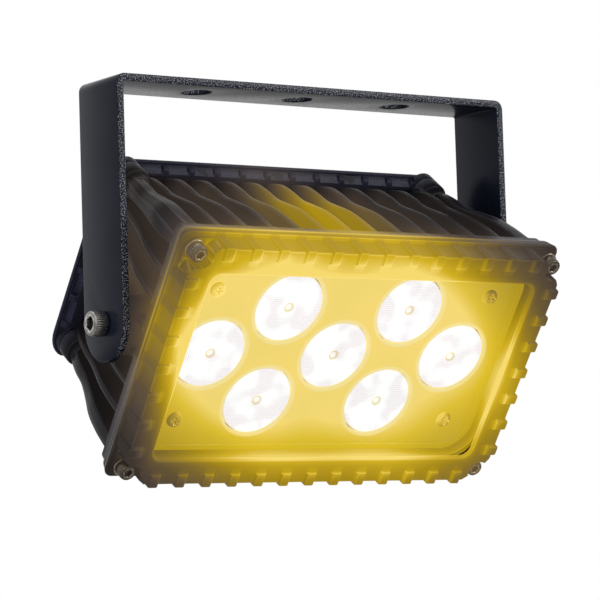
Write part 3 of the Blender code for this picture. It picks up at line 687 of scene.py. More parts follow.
    def over_fins(self, graph: Graph, place: bpy.types.NodeSocket) -> bpy.types.NodeSocket:
        """Return the light over the upper fins: exp(-(x - middle)^2 / width^2), held in."""
        across, depth, height = (graph.add("SeparateXYZ", (place,), axis) for axis in range(3))
        middle, width, peak = self.streak
        aside = graph.add("Math", (across, middle), operation="SUBTRACT")
        aside = graph.add("Math", (aside, width), operation="DIVIDE")
        square = graph.add("Math", (aside, aside), operation="MULTIPLY")
        band = graph.add("Math", (math.exp(-1.0), square), operation="POWER")
        for limit in (graph.add("MapRange", (height, *self.streak_rise, 0.0, peak)),
                      graph.add("MapRange", (depth, *self.streak_end, 1.0, 0.0))):
            band = graph.add("Math", (band, limit), operation="MULTIPLY")
        return band

    def light_up(self, graph: Graph, place: bpy.types.NodeSocket, share: float) -> None:
        """Make a finish give off a share of the glow."""
        light = self.strength(graph, place)
        for factor in (self.facing(graph, place), self.fade(graph, place)):
            light = graph.add("Math", (light, factor), operation="MULTIPLY")
        light = graph.add("Math", (light, self.over_fins(graph, place)), operation="MAXIMUM")
        light = graph.add("Math", (light, share), operation="MULTIPLY")
        graph.shade(Emission_Color=graph.add("ValToRGB", (light,), stops=self.stops),
                    Emission_Strength=1.0)


GLOW = LampGlow()


class Finish:
    """A named finish. Each kind adds its own nodes to a new material.

    Attributes:
        name: the material's name.
        glow: share of the lamp's glow that falls on it.
        placement: whose millimetres its pattern is in.
    """

    name: str
    glow: float = 0.0
    placement: Placement = HEAD

    def paint(self, graph: Graph, place: bpy.types.NodeSocket) -> None:
        """Add the finish's own nodes, at a place in its placement's millimetres."""
        raise NotImplementedError

    def material(self) -> bpy.types.Material:
        """Return the finish as a new material."""
        graph = Graph(self.name)
        place = graph.own_millimetres(self.placement)
        self.paint(graph, place)
        if self.glow:
            GLOW.light_up(graph, place, self.glow)
        return graph.material


@dataclass(frozen=True)
class PowderCoat(Finish):
    """Satin polyester powder coat, baked on: a fine orange peel that softens each highlight.

    Attributes:
        dark: colour in the peel's hollows.
        light: colour on its crests.
        at_edges: lighter colour painted on edges as their highlight.
        cut: how strongly painted glints show on the strap's cut edges, which face along y.
        roughness: of the crests.
        gloss: specular level.
        peel: depth of the orange peel in millimetres.
        grain: width of its cells in millimetres.
        glint_size: width of the painted glints on cut edges.
        cloud: width of the patches that differ in tone.
    """

    name: str
    dark: str
    light: str
    # lighter colour painted on edges, standing for their highlight
    at_edges: str
    cut: float = 0.0
    roughness: float = 0.32
    gloss: float = 0.07
    peel: float = 0.05
    glow: float = 0.0
    placement: Placement = HEAD
    grain: float = 0.55
    glint_size: float = 0.5
    cloud: float = 22.0

    def paint(self, graph: Graph, place: bpy.types.NodeSocket) -> None:
        """Add the peel, the tone and the highlights painted on edges."""
        grain, glint_noise, cloud = (
            graph.add("TexNoise", {"Vector": place, "Scale": 1.0 / size, "Detail": detail})
            for size, detail in ((self.grain, 3.0), (self.glint_size, 1.0), (self.cloud, 2.0)))
        half_cloud = graph.add("Math", (cloud, 0.5), operation="MULTIPLY")
        tone = graph.add("Math", (grain, 0.55, half_cloud), operation="MULTIPLY_ADD")
        # Painted highlight: on the strap, specks of light on faces that look along y; elsewhere, a
        # lighter colour on sharp edges, broken up by the grain.
        if self.cut:
            normal = graph.add("TexCoord", output="Normal")
            along = graph.add("SeparateXYZ", (normal,), 1)
            sideways = graph.add("Math", (along,), operation="ABSOLUTE")
            highlight_share = graph.add("MapRange", (glint_noise, 0.52, 0.66, 0.0, self.cut))
            edges = graph.add("MapRange", (sideways, 0.4, 0.8, 0.0, 1.0))
        else:
            highlight_share = graph.add("MapRange", (grain, 0.35, 0.6, 0.35, 1.0))
            edges = graph.on_edges(1.0, (0.25, 0.9))
        edge_highlight = graph.add("Math", (highlight_share, edges), operation="MULTIPLY")
        coat = graph.add("ValToRGB", (tone,), stops=((0.34, self.dark), (0.72, self.light)))
        graph.shade(
            Base_Color=graph.add("Mix", {"Factor": edge_highlight, "A": coat, "B": linear(self.at_edges)},
                                 "Result", data_type="RGBA"),
            Specular_IOR_Level=self.gloss,
            Roughness=graph.add("MapRange", (grain, 0.3, 0.7, self.roughness + 0.06,
                                             self.roughness - 0.05)))
        graph.raise_by(grain, self.peel)


@dataclass(frozen=True)
class TurnedSteel(Finish):
    """Stainless steel turned on a lathe: a fine grain in its shine, and a highlight painted on its
    edges in a lighter colour.
    """

    name: str
    colour: str = "#8c8a86"
    dark: str = "#5f5d5a"
    # lighter colour painted on edges as their highlight
    rim_highlight: str = "#c9c5bd"
    roughness: float = 0.22
    glow: float = 0.0
    placement: Placement = HEAD
    grain: float = 0.25
    cloud: float = 3.0
    depth: float = 0.006

    def paint(self, graph: Graph, place: bpy.types.NodeSocket) -> None:
        """Add the tone, the highlights painted on edges and the grain."""
        fine, cloud = (graph.add("TexNoise", {"Vector": place, "Scale": 1.0 / size})
                       for size in (self.grain, self.cloud))
        body = graph.add("ValToRGB", (cloud,), stops=((0.3, self.dark), (0.7, self.colour)))
        # Painted highlight: sharp edges are mixed towards the lighter colour.
        edges = graph.on_edges(0.7, (0.6, 1.6))
        graph.shade(
            Metallic=1.0,
            Base_Color=graph.add("Mix", {"Factor": edges, "A": body, "B": linear(self.rim_highlight)},
                                 "Result", data_type="RGBA"),
            Roughness=graph.add("MapRange", (fine, 0.3, 0.7, self.roughness,
                                             self.roughness + 0.16)))
        graph.raise_by(fine, self.depth)


@dataclass(frozen=True)
class Moulded(Finish):
    """Moulded plastic or rubber: one colour with a faint mottle and the mould's fine grain."""

    name: str
    dark: str
    light: str
    roughness: float = 0.5
    grain: float = 0.5
    depth: float = 0.02

    def paint(self, graph: Graph, place: bpy.types.NodeSocket) -> None:
        """Add the mottle and the grain."""
        fine = graph.add("TexNoise", {"Vector": place, "Scale": 1.0 / self.grain, "Detail": 3.0})
        cloud = graph.add("TexNoise", {"Vector": place, "Scale": 1.0 / (12.0 * self.grain)})
        graph.shade(
            Base_Color=graph.add("ValToRGB", (cloud,),
                                 stops=((0.3, self.dark), (0.7, self.light))),
            Specular_IOR_Level=0.4,
            Roughness=graph.add("MapRange", (fine, 0.3, 0.7, self.roughness - 0.06,
                                             self.roughness + 0.08)))
        graph.raise_by(fine, self.depth)


@dataclass(frozen=True)
class TemperedGlass(Finish):
    """Clear tempered glass, flame-polished flat, with hardly any ripple."""

    name: str = "tempered_glass"
    ripple: float = 30.0

    def paint(self, graph: Graph, place: bpy.types.NodeSocket) -> None:
        """Add the ripple."""
        ripple = graph.add("TexNoise", {"Vector": place, "Scale": 1.0 / self.ripple,
                                        "Detail": 1.0})
        graph.shade(
            Transmission_Weight=1.0, IOR=1.22,
            Base_Color=graph.add("ValToRGB", (ripple,),
                                 stops=((0.3, "#f8fbf9"), (0.7, "#ffffff"))),
            Roughness=graph.add("MapRange", (ripple, 0.0, 1.0, 0.0, 0.012)))


@dataclass(frozen=True)
class LitTray(Finish):
    """Metallised plastic tray, flooded by the lenses: pale near them, olive in far corners.

    Attributes:
        level: how much the lenses' glow adds to the light, and what there is without it.
        most: the most that there is outside the halos.
        halo: radii between which a lens's halo fades out.
        shine: what the halo adds.
        grain: width of the grain in millimetres.
        stops: colours by strength of the light.
    """

    name: str = "lit_amber_tray"
    level: Pair = (0.55, 0.30)
    most: float = 0.86
    halo: Pair = (16.2, 16.9)
    shine: float = 0.22
    grain: float = 0.8
    stops: Stops = ((0.30, "#9a8010"), (0.48, "#c3a412"), (0.66, "#debd1c"), (0.84, "#f4d566"),
                    (1.0, "#f5df92"))

    def paint(self, graph: Graph, place: bpy.types.NodeSocket) -> None:
        """Add the light, with a pale halo round each lens, and the grain."""
        light = graph.add("Math", (GLOW.strength(graph, place), *self.level),
                          operation="MULTIPLY_ADD")
        light = graph.add("Math", (light, self.most), operation="MINIMUM")
        halo = graph.add("MapRange", (GLOW.nearest(graph, place), *self.halo, self.shine, 0.0))
        light = graph.add("Math", (light, halo), operation="ADD")
        grain = graph.add("TexNoise", {"Vector": place, "Scale": 1.0 / self.grain})
        graph.shade(
            Specular_IOR_Level=0.2, Roughness=0.32,
            Base_Color=graph.add("ValToRGB", (grain,),
                                 stops=((0.3, "#221c06"), (0.7, "#2c260a"))),
            Emission_Color=graph.add("ValToRGB", (light,), stops=self.stops),
            Emission_Strength=1.0)


@dataclass(frozen=True)
class LitLens(Finish):
    """Clear acrylic optic over a lit diode: white-hot, with a faint grid of tiny pillows.

    Attributes:
        pillow: width of a pillow in millimetres.
        cloud: width of the patches where the pillows show.
        radius: where the rings of light end.
        rings: their colours, from the middle outwards.
    """

    name: str = "lit_lens_acrylic"
    pillow: float = 0.9
    cloud: float = 11.0
    radius: float = 16.0
    rings: Stops = (
        (0.0, "#fffdf6"), (0.07, "#fffdf6"), (0.10, "#e6d396"), (0.125, "#efe4c2"),
        (0.15, "#ffffff"), (0.90, "#ffffff"), (0.935, "#f6e6b4"))

    def paint(self, graph: Graph, place: bpy.types.NodeSocket) -> None:
        """Add the pillows and the rings of light."""
        cells = graph.add("TexVoronoi", {"Vector": place, "Scale": 1.0 / self.pillow,
                                         "Randomness": 0.12}, "Distance")
        cloud = graph.add("TexNoise", {"Vector": place, "Scale": 1.0 / self.cloud,
                                       "Detail": 1.0})
        shown = graph.add("MapRange", (cloud, 0.42, 0.6, 0.0, 1.0))
        lines = graph.add("Math", (cells, shown), operation="MULTIPLY")
        outwards = graph.add("MapRange", (GLOW.nearest(graph, place), 0.0, self.radius, 0.0, 1.0))
        rings = graph.add("ValToRGB", (outwards,), stops=self.rings)
        white = graph.add("ValToRGB", (lines,), stops=((0.1, "#ffffff"), (0.5, "#efe6e8")))
        graph.shade(
            Roughness=0.12,
            Base_Color=graph.add("ValToRGB", (cells,),
                                 stops=((0.0, "#4c4a48"), (0.8, "#3a3836"))),
            Emission_Color=graph.add("Mix", {"Factor": 1.0, "A": rings, "B": white}, "Result",
                                     data_type="RGBA", blend_type="MULTIPLY"),
            Emission_Strength=1.0)
        graph.raise_by(cells, 0.05)


@dataclass(frozen=True)
class CircuitBoard(Finish):
    """Solder resist over copper: the tracks stand out a little in tone and height."""

    name: str
    resist: str
    track: str
    cells: float = 0.22

    def paint(self, graph: Graph, place: bpy.types.NodeSocket) -> None:
        """Add the tracks."""
        cells = graph.add("TexVoronoi", {"Vector": place, "Scale": self.cells}, "Distance",
                          distance="MANHATTAN")
        tracks = graph.add("MapRange", (cells, 0.42, 0.50, 0.0, 1.0))
        graph.shade(Roughness=0.38,
                    Base_Color=graph.add("ValToRGB", (tracks,),
                                         stops=((0.0, self.resist), (1.0, self.track))))
        graph.raise_by(tracks, 0.03)


@dataclass
class Bracket:
    """Strap bent to a U, with round ends, three hanging holes and a pivot hole in each arm."""

    width: float = 30.0
    thickness: float = 3.0
    half: float = 93.0
    bend: float = 3.75
    edge: float = 0.45
    hole: float = 6.0
    hole_lip: float = 0.45
    pitch: float = 48.0
    def path(self) -> np.ndarray:
        """Return rows of (middle x, middle z, outward x, outward z, half width).

        From the foot of the right arm the half width is w cos t at w sin t below the axis, the
        strap goes straight up, turns about the bend's centre, and is mirrored past the middle.
        """
        inset = 0.5 * self.thickness
        fall = np.radians(np.array([89.0, 86.0, 82.0, 77.0, 71.0, 64.0, 56.0, 47.0, 37.0, 26.0,
                                    13.0, 0.0]))
        foot = np.stack([np.full(len(fall), self.half - inset),
                         -PIVOT_DROP - 0.5 * self.width * np.sin(fall),
                         np.ones(len(fall)), np.zeros(len(fall)),
                         0.5 * self.width * np.cos(fall)], axis=-1)
        turn = np.linspace(0.0, 0.5 * math.pi, 11)
        reach = self.bend - inset
        bend = np.stack([self.half - self.bend + reach * np.cos(turn),
                         -self.bend + reach * np.sin(turn), np.cos(turn), np.sin(turn),
                         np.full(len(turn), 0.5 * self.width)], axis=-1)
        rise = np.array([[self.half - inset, height, 1.0, 0.0, 0.5 * self.width]
                         for height in (-70.0, -40.0, -12.0)])
        flat = np.array([[x, -inset, 0.0, 1.0, 0.5 * self.width] for x in (60.0, 20.0)])
        side = np.concatenate([foot, rise, bend, flat])
        return np.concatenate([side, side[::-1] * (-1, 1, -1, 1, 1)])

    def strap(self) -> Skin:
        """Carry a rounded bar section along the path: middle + across * outward + along * y."""
        path = self.path()
        angle = np.radians(np.array([0.0, 30.0, 60.0, 90.0]))
        edge = np.minimum(self.edge, 0.45 * path[:, 4])[:, None]
        across, along = [], []
        for side, end in ((1, 1), (-1, 1), (-1, -1), (1, -1)):
            turn = angle if side * end > 0 else angle[::-1]
            across.append(side * (0.5 * self.thickness - edge + edge * np.cos(turn)))
            along.append(end * (path[:, 4:5] - edge + edge * np.sin(turn)))
        across, along = np.concatenate(across, axis=1), np.concatenate(along, axis=1)
        return Skin(np.stack([path[:, 0:1] + across * path[:, 2:3], along,
                              path[:, 1:2] + across * path[:, 3:4]], axis=-1))

    def cutters(self) -> list[Skin]:
        """Return countersunk hole cutters through the bar and plain ones through the arms."""
        lip = self.hole + self.hole_lip
        below = -self.thickness
        heights = ((lip + 1.0, 1.0), (lip, 0.0), (self.hole, -self.hole_lip),
                   (self.hole, below + self.hole_lip), (lip, below), (lip + 1.0, below - 1.0))
        holes = []
        for x in (-self.pitch, 0.0, self.pitch):
            round_y = lathe(heights, steps=64).points
            holes.append(Skin(np.stack([round_y[..., 0] + x, round_y[..., 2], round_y[..., 1]],
                                       axis=-1)))
        for side in (-1, 1):
            ends = (self.half - self.thickness - 1.0, self.half + 1.0)
            holes.append(lathe([(M6_BORE, side * end) for end in ends], (0.0, -PIVOT_DROP), 32,
                               Axis.X))
        return holes

    def build(self) -> None:
        """Make the bracket."""
        # Its light grey third colour is painted as glints of the lamps on the strap's cut edges.
        coat = PowderCoat("graphite_bracket_coat", "#0f121c", "#1c2132", "#9a9ca3", 1.0, 0.20,
                          0.08, placement=PART)
        Piece("strap_bracket", "hanging_bracket", "bracket_coat", "bracket", PART).build(
            self.strap(), coat.material(), [("DIFFERENCE", self.cutters())])


@dataclass
class TiltJoint:
    """On each arm: a knurled cap screw outside and a friction disc inside.

    Attributes:
        base: distance from the middle to the underside of a screw's head.
        head: radius and height of the head.
        shank: radius of the shank.
        reach: distance from the middle to its tip.
        key: width over the flats of the key's hexagon, and its depth.
        disc: radius, inner and outer face of a disc.
        knurls: ridges round the head.
    """

    base: float = 93.3
    head: Pair = (5.0, 6.0)
    shank: float = 3.0
    reach: float = 73.5
    key: Pair = (5.0, 3.0)
    disc: Triple = (11.0, 88.6, 89.7)
    knurls: int = 32

    def screw_profile(self, side: int) -> list[tuple[Reach, float]]:
        """Return the screw from its tip, out along the shank, over the head and into its key."""
        radius, height = self.head
        top = self.base + height
        flats, depth = self.key
        grip = fluted(radius, 0.34, self.knurls)
        rows: list[tuple[Reach, float]] = [
            (self.shank - 0.6, self.reach), (self.shank, self.reach + 0.7),
            (self.shank, self.base), (radius - 0.6, self.base), (radius - 0.25, self.base + 0.2),
            (grip, self.base + 0.5), (grip, top - 1.2), (radius - 0.25, top - 0.8),
            (radius - 0.3, top - 0.4), (radius - 0.6, top - 0.1), (radius - 0.95, top),
            (hexagon(flats * 1.13, 0.25), top), (hexagon(flats), top - 0.3),
            (hexagon(flats), top - depth), (0.6, top - depth - 1.0)]
        return [(radius, side * place) for radius, place in rows]

    def build(self) -> None:
        """Make both sides of the joint."""
        # The lock screws' edges get a near-white painted highlight.
        steel = TurnedSteel("turned_steel_of_lock_screws", "#9a9894", rim_highlight="#e6e4e0",
                            placement=PIVOT).material()
        nylon = Moulded("black_nylon_of_discs", "#0c0c0d", "#161618", 0.55).material()
        for side, label in ((-1, "left"), (1, "right")):
            Piece(f"{label}_knurled_screw", f"{label}_lock_screw", "stainless_steel",
                  f"{label}_lock_screw", PIVOT).build(
                lathe(self.screw_profile(side), steps=4 * self.knurls, axis=Axis.X), steel)
            radius, inner, outer = self.disc
            rows = ((M6_BORE, inner), (radius - 0.25, inner), (radius, inner + 0.25),
                    (radius, outer - 0.25), (radius - 0.25, outer), (M6_BORE, outer))
            Piece(f"{label}_nylon_disc", f"{label}_friction_disc", "black_nylon",
                  placement=PIVOT).build(
                lathe([(reach, side * place) for reach, place in rows], steps=72, axis=Axis.X,
                      ends=Ends.JOINED), nylon)


@dataclass
class Housing:
    """Die-cast heat sink: finned body, flange, collar, bosses and the pockets at both ends.

    Attributes:
        tips: depth, half height and half width at the fins' tips, as measured.
        root_rear: half height and half width at the grooves' floors, at the rear.
        root_front: the same at the front.
        rear: depth of the casting's rear edge.
        front: depth where the fins end at the flange.
        rear_dip: how far the tips are lowered at the rear edge.
        slices: first and last depth of the plain finned rows, and their number.
        ease: depth of a groove below which its rounding gets smaller with it.
        chord: share by which the body's corners are pulled back to their chords.
        corner: where the solid corners start on the upright and on the level sides.
        chamfer: size of the corners at the rear and at the front.
        fin: offset from a fin's centre, offset from root or tip, and which (1 is the tip).
        flank: the same for the flank of a solid corner.
        pocket: stations of the rear pocket, from its floor.
        fillet: depth and raised share of the grooves' floors, at their front end.
        collar: stations of the flange, the collar and the front pocket.
        pivot: radius, inner and outer end of the bosses for the lock screws.
        boss: profile of the bosses for the cover's screws.
        tray_post: profile of the posts for the tray's screws.
        driver_post: profile of the posts under the driver's board.
    """

    tips: tuple[Triple, ...] = (
        (-17.0, 51.95, 85.65), (-4.0, 50.8, 84.7), (6.0, 49.4, 83.2), (14.0, 47.2, 81.3),
        (22.0, 45.0, 79.8), (30.0, 44.3, 78.8), (38.0, 42.9, 77.1), (43.0, 40.6, 75.5),
        (47.2, 38.2, 73.0))
    root_rear: Pair = (36.0, 71.5)
    root_front: Pair = (43.5, 77.5)
    rear: float = 47.2
    front: float = -15.7
    rear_dip: float = 0.45
    slices: tuple[float, float, int] = (46.8, -14.0, 58)
    ease: float = 2.2
    chord: float = 0.92
    corner: Pair = (42.5, 75.9)
    chamfer: Pair = (1.5, 4.0)
    fin: tuple[Triple, ...] = (
        (2.5, 0.0, 0.0), (2.12, 0.12, 0.0), (1.92, 0.40, 0.0), (1.80, 0.85, 0.0),
        (1.40, 1.10, 1.0), (1.32, 0.72, 1.0), (1.14, 0.40, 1.0), (0.86, 0.16, 1.0),
        (0.50, 0.04, 1.0), (0.15, 0.0, 1.0))
    flank: tuple[Triple, ...] = (
        (-1.2, 0.0, 0.0), (-0.82, 0.12, 0.0), (-0.62, 0.40, 0.0), (-0.50, 0.85, 0.0),
        (-0.10, 1.10, 1.0), (-0.02, 0.72, 1.0), (0.14, 0.40, 1.0), (0.38, 0.16, 1.0),
        (0.66, 0.04, 1.0), (0.95, 0.0, 1.0))
    pocket: tuple[Station, ...] = (
        (-3.0, 68.3, 33.2, 6.0), (46.9, 68.3, 33.2, 6.0), (47.2, 68.6, 33.5, 6.2),
        (47.2, 71.2, 35.7, 0.3))
    fillet: tuple[Pair, ...] = (
        (-14.6, 0.03), (-15.1, 0.10), (-15.45, 0.25), (-15.65, 0.50), (-15.7, 0.93))
    collar: tuple[Station, ...] = (
        (-15.9, 86.1, 52.4, 2.0), (-19.3, 86.55, 52.85, 2.2), (-19.7, 86.75, 53.05, 2.2),
        (-20.2, 87.3, 53.7, 2.4), (-20.5, 87.4, 53.8, 2.4), (-21.9, 87.75, 54.15, 2.6),
        (-22.2, 87.5, 53.9, 2.5), (-22.2, 85.6, 48.6, 17.1), (-20.7, 85.6, 48.6, 17.1),
        (-20.7, 84.0, 47.0, 15.5), (-22.2, 84.0, 47.0, 15.5), (-22.2, 82.9, 45.9, 14.4),
        (-27.0, 82.9, 45.9, 14.4), (-27.3, 82.6, 45.6, 14.1), (-27.3, 81.6, 44.6, 13.3),
        (-27.0, 81.3, 44.3, 13.0), (-20.9, 81.3, 44.3, 13.0), (-20.9, 73.8, 40.1, 9.2),
        (-20.6, 73.5, 39.8, 9.0), (-9.4, 73.5, 39.8, 9.0), (-9.0, 73.1, 39.4, 8.6))
    pivot: Triple = (12.0, 74.5, 88.3)
    boss: tuple[Pair, ...] = (
        (4.6, 36.5), (5.0, 36.6), (5.3, 37.0), (5.45, 37.7), (5.5, 39.5), (6.1, 39.7),
        (6.5, 40.0), (6.7, 40.6), (6.7, 46.6), (6.4, 46.9))
    tray_post: tuple[Pair, ...] = ((3.8, -8.0), (3.8, -20.6), (3.5, -20.9))
    driver_post: tuple[Pair, ...] = ((3.0, -4.0), (3.0, 5.4), (2.7, 5.7))

    def side_columns(self, count: int, pitch: float, edge: float) -> np.ndarray:
        """Return rows of (place, offset from root or tip, which, share of the block's shift).

        A fin's columns come from its centre outwards on both sides. The last columns are the
        flank of the solid corner, which moves inwards towards the rear.
        """
        fin = np.array(self.fin)
        fin = np.concatenate([fin * (-1, 1, 1), fin[::-1]])
        rows = np.concatenate([fin + (centre, 0.0, 0.0) for centre in spread(count, pitch)])
        rows = np.concatenate([rows, np.zeros((len(rows), 1))], axis=1)
        flank = np.array(self.flank)
        flank = np.concatenate([flank + (edge, 0.0, 0.0), np.ones((len(flank), 1))], axis=1)
        return np.concatenate([flank[::-1] * (-1, 1, 1, -1), rows, flank])

    def columns(self) -> tuple[np.ndarray, np.ndarray]:
        """Return the columns along the upper and lower sides and along the other two."""
        return (self.side_columns(TOP_FINS, TOP_PITCH, self.corner[1]),
                self.side_columns(SIDE_FINS, SIDE_PITCH, self.corner[0]))

    def fin_row(self, y: float, rise: float = 0.0, dip: float = 0.0) -> tuple[float, np.ndarray]:
        """Return the finned outline at one depth.

        A column lies its offset above the groove's floor, or below the fin's tip. The tip's
        height follows the measured curve, and the floor's rises in a straight line.

        Args:
            y: the depth.
            rise: share of a groove's depth by which its floor is raised, for the end fillet.
            dip: how far the tips are lowered, for the rear edge.

        Returns:
            The depth and the ring.
        """
        share = (self.rear - y) / (self.rear - self.front)
        places = [tip[0] for tip in self.tips]
        tip_z, tip_x = (float(smooth_curve(places, [tip[part] for tip in self.tips],
                                           np.array([y]))[0]) - dip for part in (1, 2))
        root_z, root_x = (back + share * (ahead - back)
                          for back, ahead in zip(self.root_rear, self.root_front))
        chamfer = self.chamfer[0] + share * (self.chamfer[1] - self.chamfer[0])
        shift_x = min(self.corner[1], root_x - 1.0) - self.corner[1]
        shift_z = min(self.corner[0], root_z - 1.0) - self.corner[0]
        on_x, on_z = self.columns()
        drops = []
        for columns, tip, root in ((on_x, tip_z, root_z), (on_z, tip_x, root_x)):
            depth = (tip - root) * (1.0 - rise)
            ease = min(1.0, depth / self.ease)
            drops.append(np.where(columns[:, 2] > 0.5, ease * columns[:, 1],
                                  depth - ease * columns[:, 1]))
        outline = Outline(on_x[:, 0], on_z[:, 0], 2, 6, self.chord)
        ring, turn = outline.ring(tip_x, tip_z, chamfer, on_x[:, 0] + shift_x * on_x[:, 3],
                                  on_z[:, 0] + shift_z * on_z[:, 3])
        drop = outline.spread_over(*drops)
        return y, ring - turn * drop[:, None]

    def body(self) -> Skin:
        """Skin the whole casting, from the rear pocket's floor round to the front pocket's."""
        on_x, on_z = self.columns()
        outline = Outline(on_x[:, 0], on_z[:, 0], 2, 6)
        rows = [(y, outline.ring(*sizes)[0]) for y, *sizes in self.pocket]
        rows.append(self.fin_row(self.rear, dip=self.rear_dip))
        rows += [self.fin_row(y) for y in np.linspace(*self.slices)]
        rows += [self.fin_row(y, rise) for y, rise in self.fillet]
        rows += [(y, outline.ring(*sizes)[0]) for y, *sizes in self.collar]
        return stack_rings(rows)

    def bosses(self) -> list[Skin]:
        """Return the bosses that stand out of the body."""
        radius, inner, outer = self.pivot
        made = [lathe([(radius + 1.2, side * inner), (radius + 0.3, side * (inner + 3.5)),
                       (radius, side * (inner + 4.5)), (radius, side * (outer - 0.5)),
                       (radius - 0.5, side * outer)], (0.0, -HEAD_LIFT), 72, Axis.X)
                for side in (-1, 1)]
        return made + turned(self.boss, four(COVER_SCREW))

    def posts(self) -> list[Skin]:
        """Return the screw posts inside the two pockets."""
        return (turned(self.tray_post, four(TRAY_SCREW), 32)
                + turned(self.driver_post, four(DRIVER_POST), 32))

    def holes(self) -> list[Skin]:
        """Return the screw holes, the hole for the leads and the pivot holes."""
        made = bores(M4_BORE, (-16.4, -23.0), four(FRAME_SCREW))
        made += bores(M4_BORE, (40.0, 48.0), four(COVER_SCREW))
        made += bores(M3_BORE, (-12.5, -22.0), four(TRAY_SCREW))
        made += bores(M3_BORE, (0.5, 6.5), DRIVER_SCREWS)
        made += bores(3.2, (-9.5, -2.5), [(0.0, -29.0)])
        return made + [lathe([(M6_BORE, side * end) for end in (72.5, 89.0)],
                             (0.0, -HEAD_LIFT), 32, Axis.X) for side in (-1, 1)]

    def build(self, coat: bpy.types.Material) -> None:
        """Make the casting."""
        Piece("finned_housing", "heat_sink_housing", "housing_coat").build(
            self.body(), coat,
            [("UNION", self.bosses()), ("UNION", self.posts()), ("DIFFERENCE", self.holes())])


@dataclass
class FrontFrame:
    """Die-cast bezel: ribs up its skirt and over its face, and scooped corners for screws.

    Attributes:
        rib: offset from a rib's centre, and share of its height there.
        rows: station, a rib's height and its step towards the front, round the section.
        seat: depth of the screws' seats.
        front: depth in front of the bezel where a scoop's cutter ends.
        scoop: radius of a scoop round its screw.
        sweep: first and last angle of that arc, and its points.
        above: corners of the cutter above the arc.
        beside: corners of it beside the arc.
    """

    rib: tuple[Pair, ...] = (
        (2.85, 0.0), (2.60, 0.07), (2.35, 0.30), (2.05, 0.70), (1.80, 0.93), (1.45, 1.0))
    rows: tuple[tuple[float, ...], ...] = (
        (-22.5, 87.7, 53.9, 2.6, 0.0, 0.0), (-22.8, 88.05, 54.25, 2.8, 0.0, 0.0),
        (-25.3, 89.0, 54.6, 3.2, 0.0, 0.0), (-25.75, 89.0, 54.6, 3.4, 0.0, 0.0),
        (-26.05, 88.8, 54.4, 3.4, 0.0, 0.0), (-26.3, 88.15, 53.65, 6.4, 0.35, 0.0),
        (-26.6, 87.9, 53.3, 6.1, 0.60, 0.0), (-27.1, 87.77, 53.15, 6.0, 0.73, 0.0),
        (-30.5, 87.57, 52.85, 5.7, 0.85, 0.3), (-34.3, 87.33, 52.55, 5.5, 1.0, 1.15),
        (-34.85, 87.28, 52.48, 5.4, 1.0, 1.2), (-35.15, 87.12, 52.32, 5.3, 0.95, 1.2),
        (-35.3, 86.8, 52.0, 5.1, 0.85, 1.2), (-35.3, 85.6, 50.8, 5.1, 0.2, 1.2),
        (-35.3, 82.9, 48.1, 5.2, 0.0, 1.2), (-35.3, 82.6, 47.8, 5.2, 0.0, 1.05),
        (-35.3, 82.3, 47.5, 5.2, 0.0, 0.18), (-35.3, 82.0, 47.2, 5.2, 0.0, 0.0),
        (-35.3, 79.5, 44.6, 5.2, 0.0, 0.0), (-35.3, 77.35, 42.35, 5.5, 0.0, 0.0),
        (-35.2, 77.05, 42.05, 5.2, 0.0, 0.0), (-34.55, 76.4, 41.4, 4.55, 0.0, 0.0),
        (-34.3, 76.3, 41.3, 4.45, 0.0, 0.0), (-33.45, 76.3, 41.3, 4.45, 0.0, 0.0),
        (-33.3, 76.45, 41.45, 4.6, 0.0, 0.0), (-33.3, 83.2, 46.2, 14.7, 0.0, 0.0),
        (-22.7, 83.2, 46.2, 14.7, 0.0, 0.0), (-22.5, 83.4, 46.4, 14.8, 0.0, 0.0))
    seat: float = -28.2
    front: float = -40.0
    scoop: float = 4.7
    sweep: tuple[float, float, int] = (155.0, 295.0, 22)
    above: tuple[Pair, ...] = ((75.4, 60.0), (75.4, 53.2), (77.0, 51.9))
    beside: tuple[Pair, ...] = (
        (86.6, 42.4), (87.4, 40.6), (95.0, 40.6), (95.0, 60.0))

    def columns(self, count: int, pitch: float) -> np.ndarray:
        """Return rows of (place, share of a rib's height) along one side."""
        rib = np.array(self.rib)
        rib = np.concatenate([rib * (-1, 1), rib[::-1]])
        return np.concatenate([rib + (centre, 0.0) for centre in spread(count, pitch)])

    def ring_of_ribs(self) -> Skin:
        """Skin the bezel's section, moved outwards and forwards where a rib stands.

        A point is the plain section's, plus the rib's share times its height along the outward
        direction and times its step towards the front.
        """
        on_x = self.columns(TOP_FINS + 1, TOP_PITCH)
        on_z = self.columns(SIDE_FINS + 1, SIDE_PITCH)
        outline = Outline(on_x[:, 0], on_z[:, 0], 3, 10)
        share = outline.spread_over(on_x[:, 1], on_z[:, 1])
        rows = []
        for y, half_x, half_z, radius, out, ahead in self.rows:
            ring, turn = outline.ring(half_x, half_z, radius)
            ring = ring + turn * (out * share)[:, None]
            rows.append(np.stack([ring[:, 0], y - ahead * share, ring[:, 1]], axis=-1))
        return Skin(np.stack(rows), Ends.JOINED)

    def scoops(self) -> list[Skin]:
        """Return the four cutters that open a seat round each screw."""
        x, z = FRAME_SCREW
        angle = np.radians(np.linspace(*self.sweep))
        arc = np.stack([x + self.scoop * np.cos(angle), z + self.scoop * np.sin(angle)], axis=-1)
        ring = np.concatenate([np.array(self.above), arc, np.array(self.beside)])
        return [stack_rings([(self.seat, ring * sides), (self.front, ring * sides)])
                for sides in four((1.0, 1.0))]

    def build(self, coat: bpy.types.Material) -> None:
        """Make the bezel."""
        Piece("ribbed_bezel", "front_frame", "housing_coat").build(
            self.ring_of_ribs(), coat,
            [("DIFFERENCE", self.scoops()),
             ("DIFFERENCE", bores(M4_BORE, (-22.0, -29.0), four(FRAME_SCREW)))])


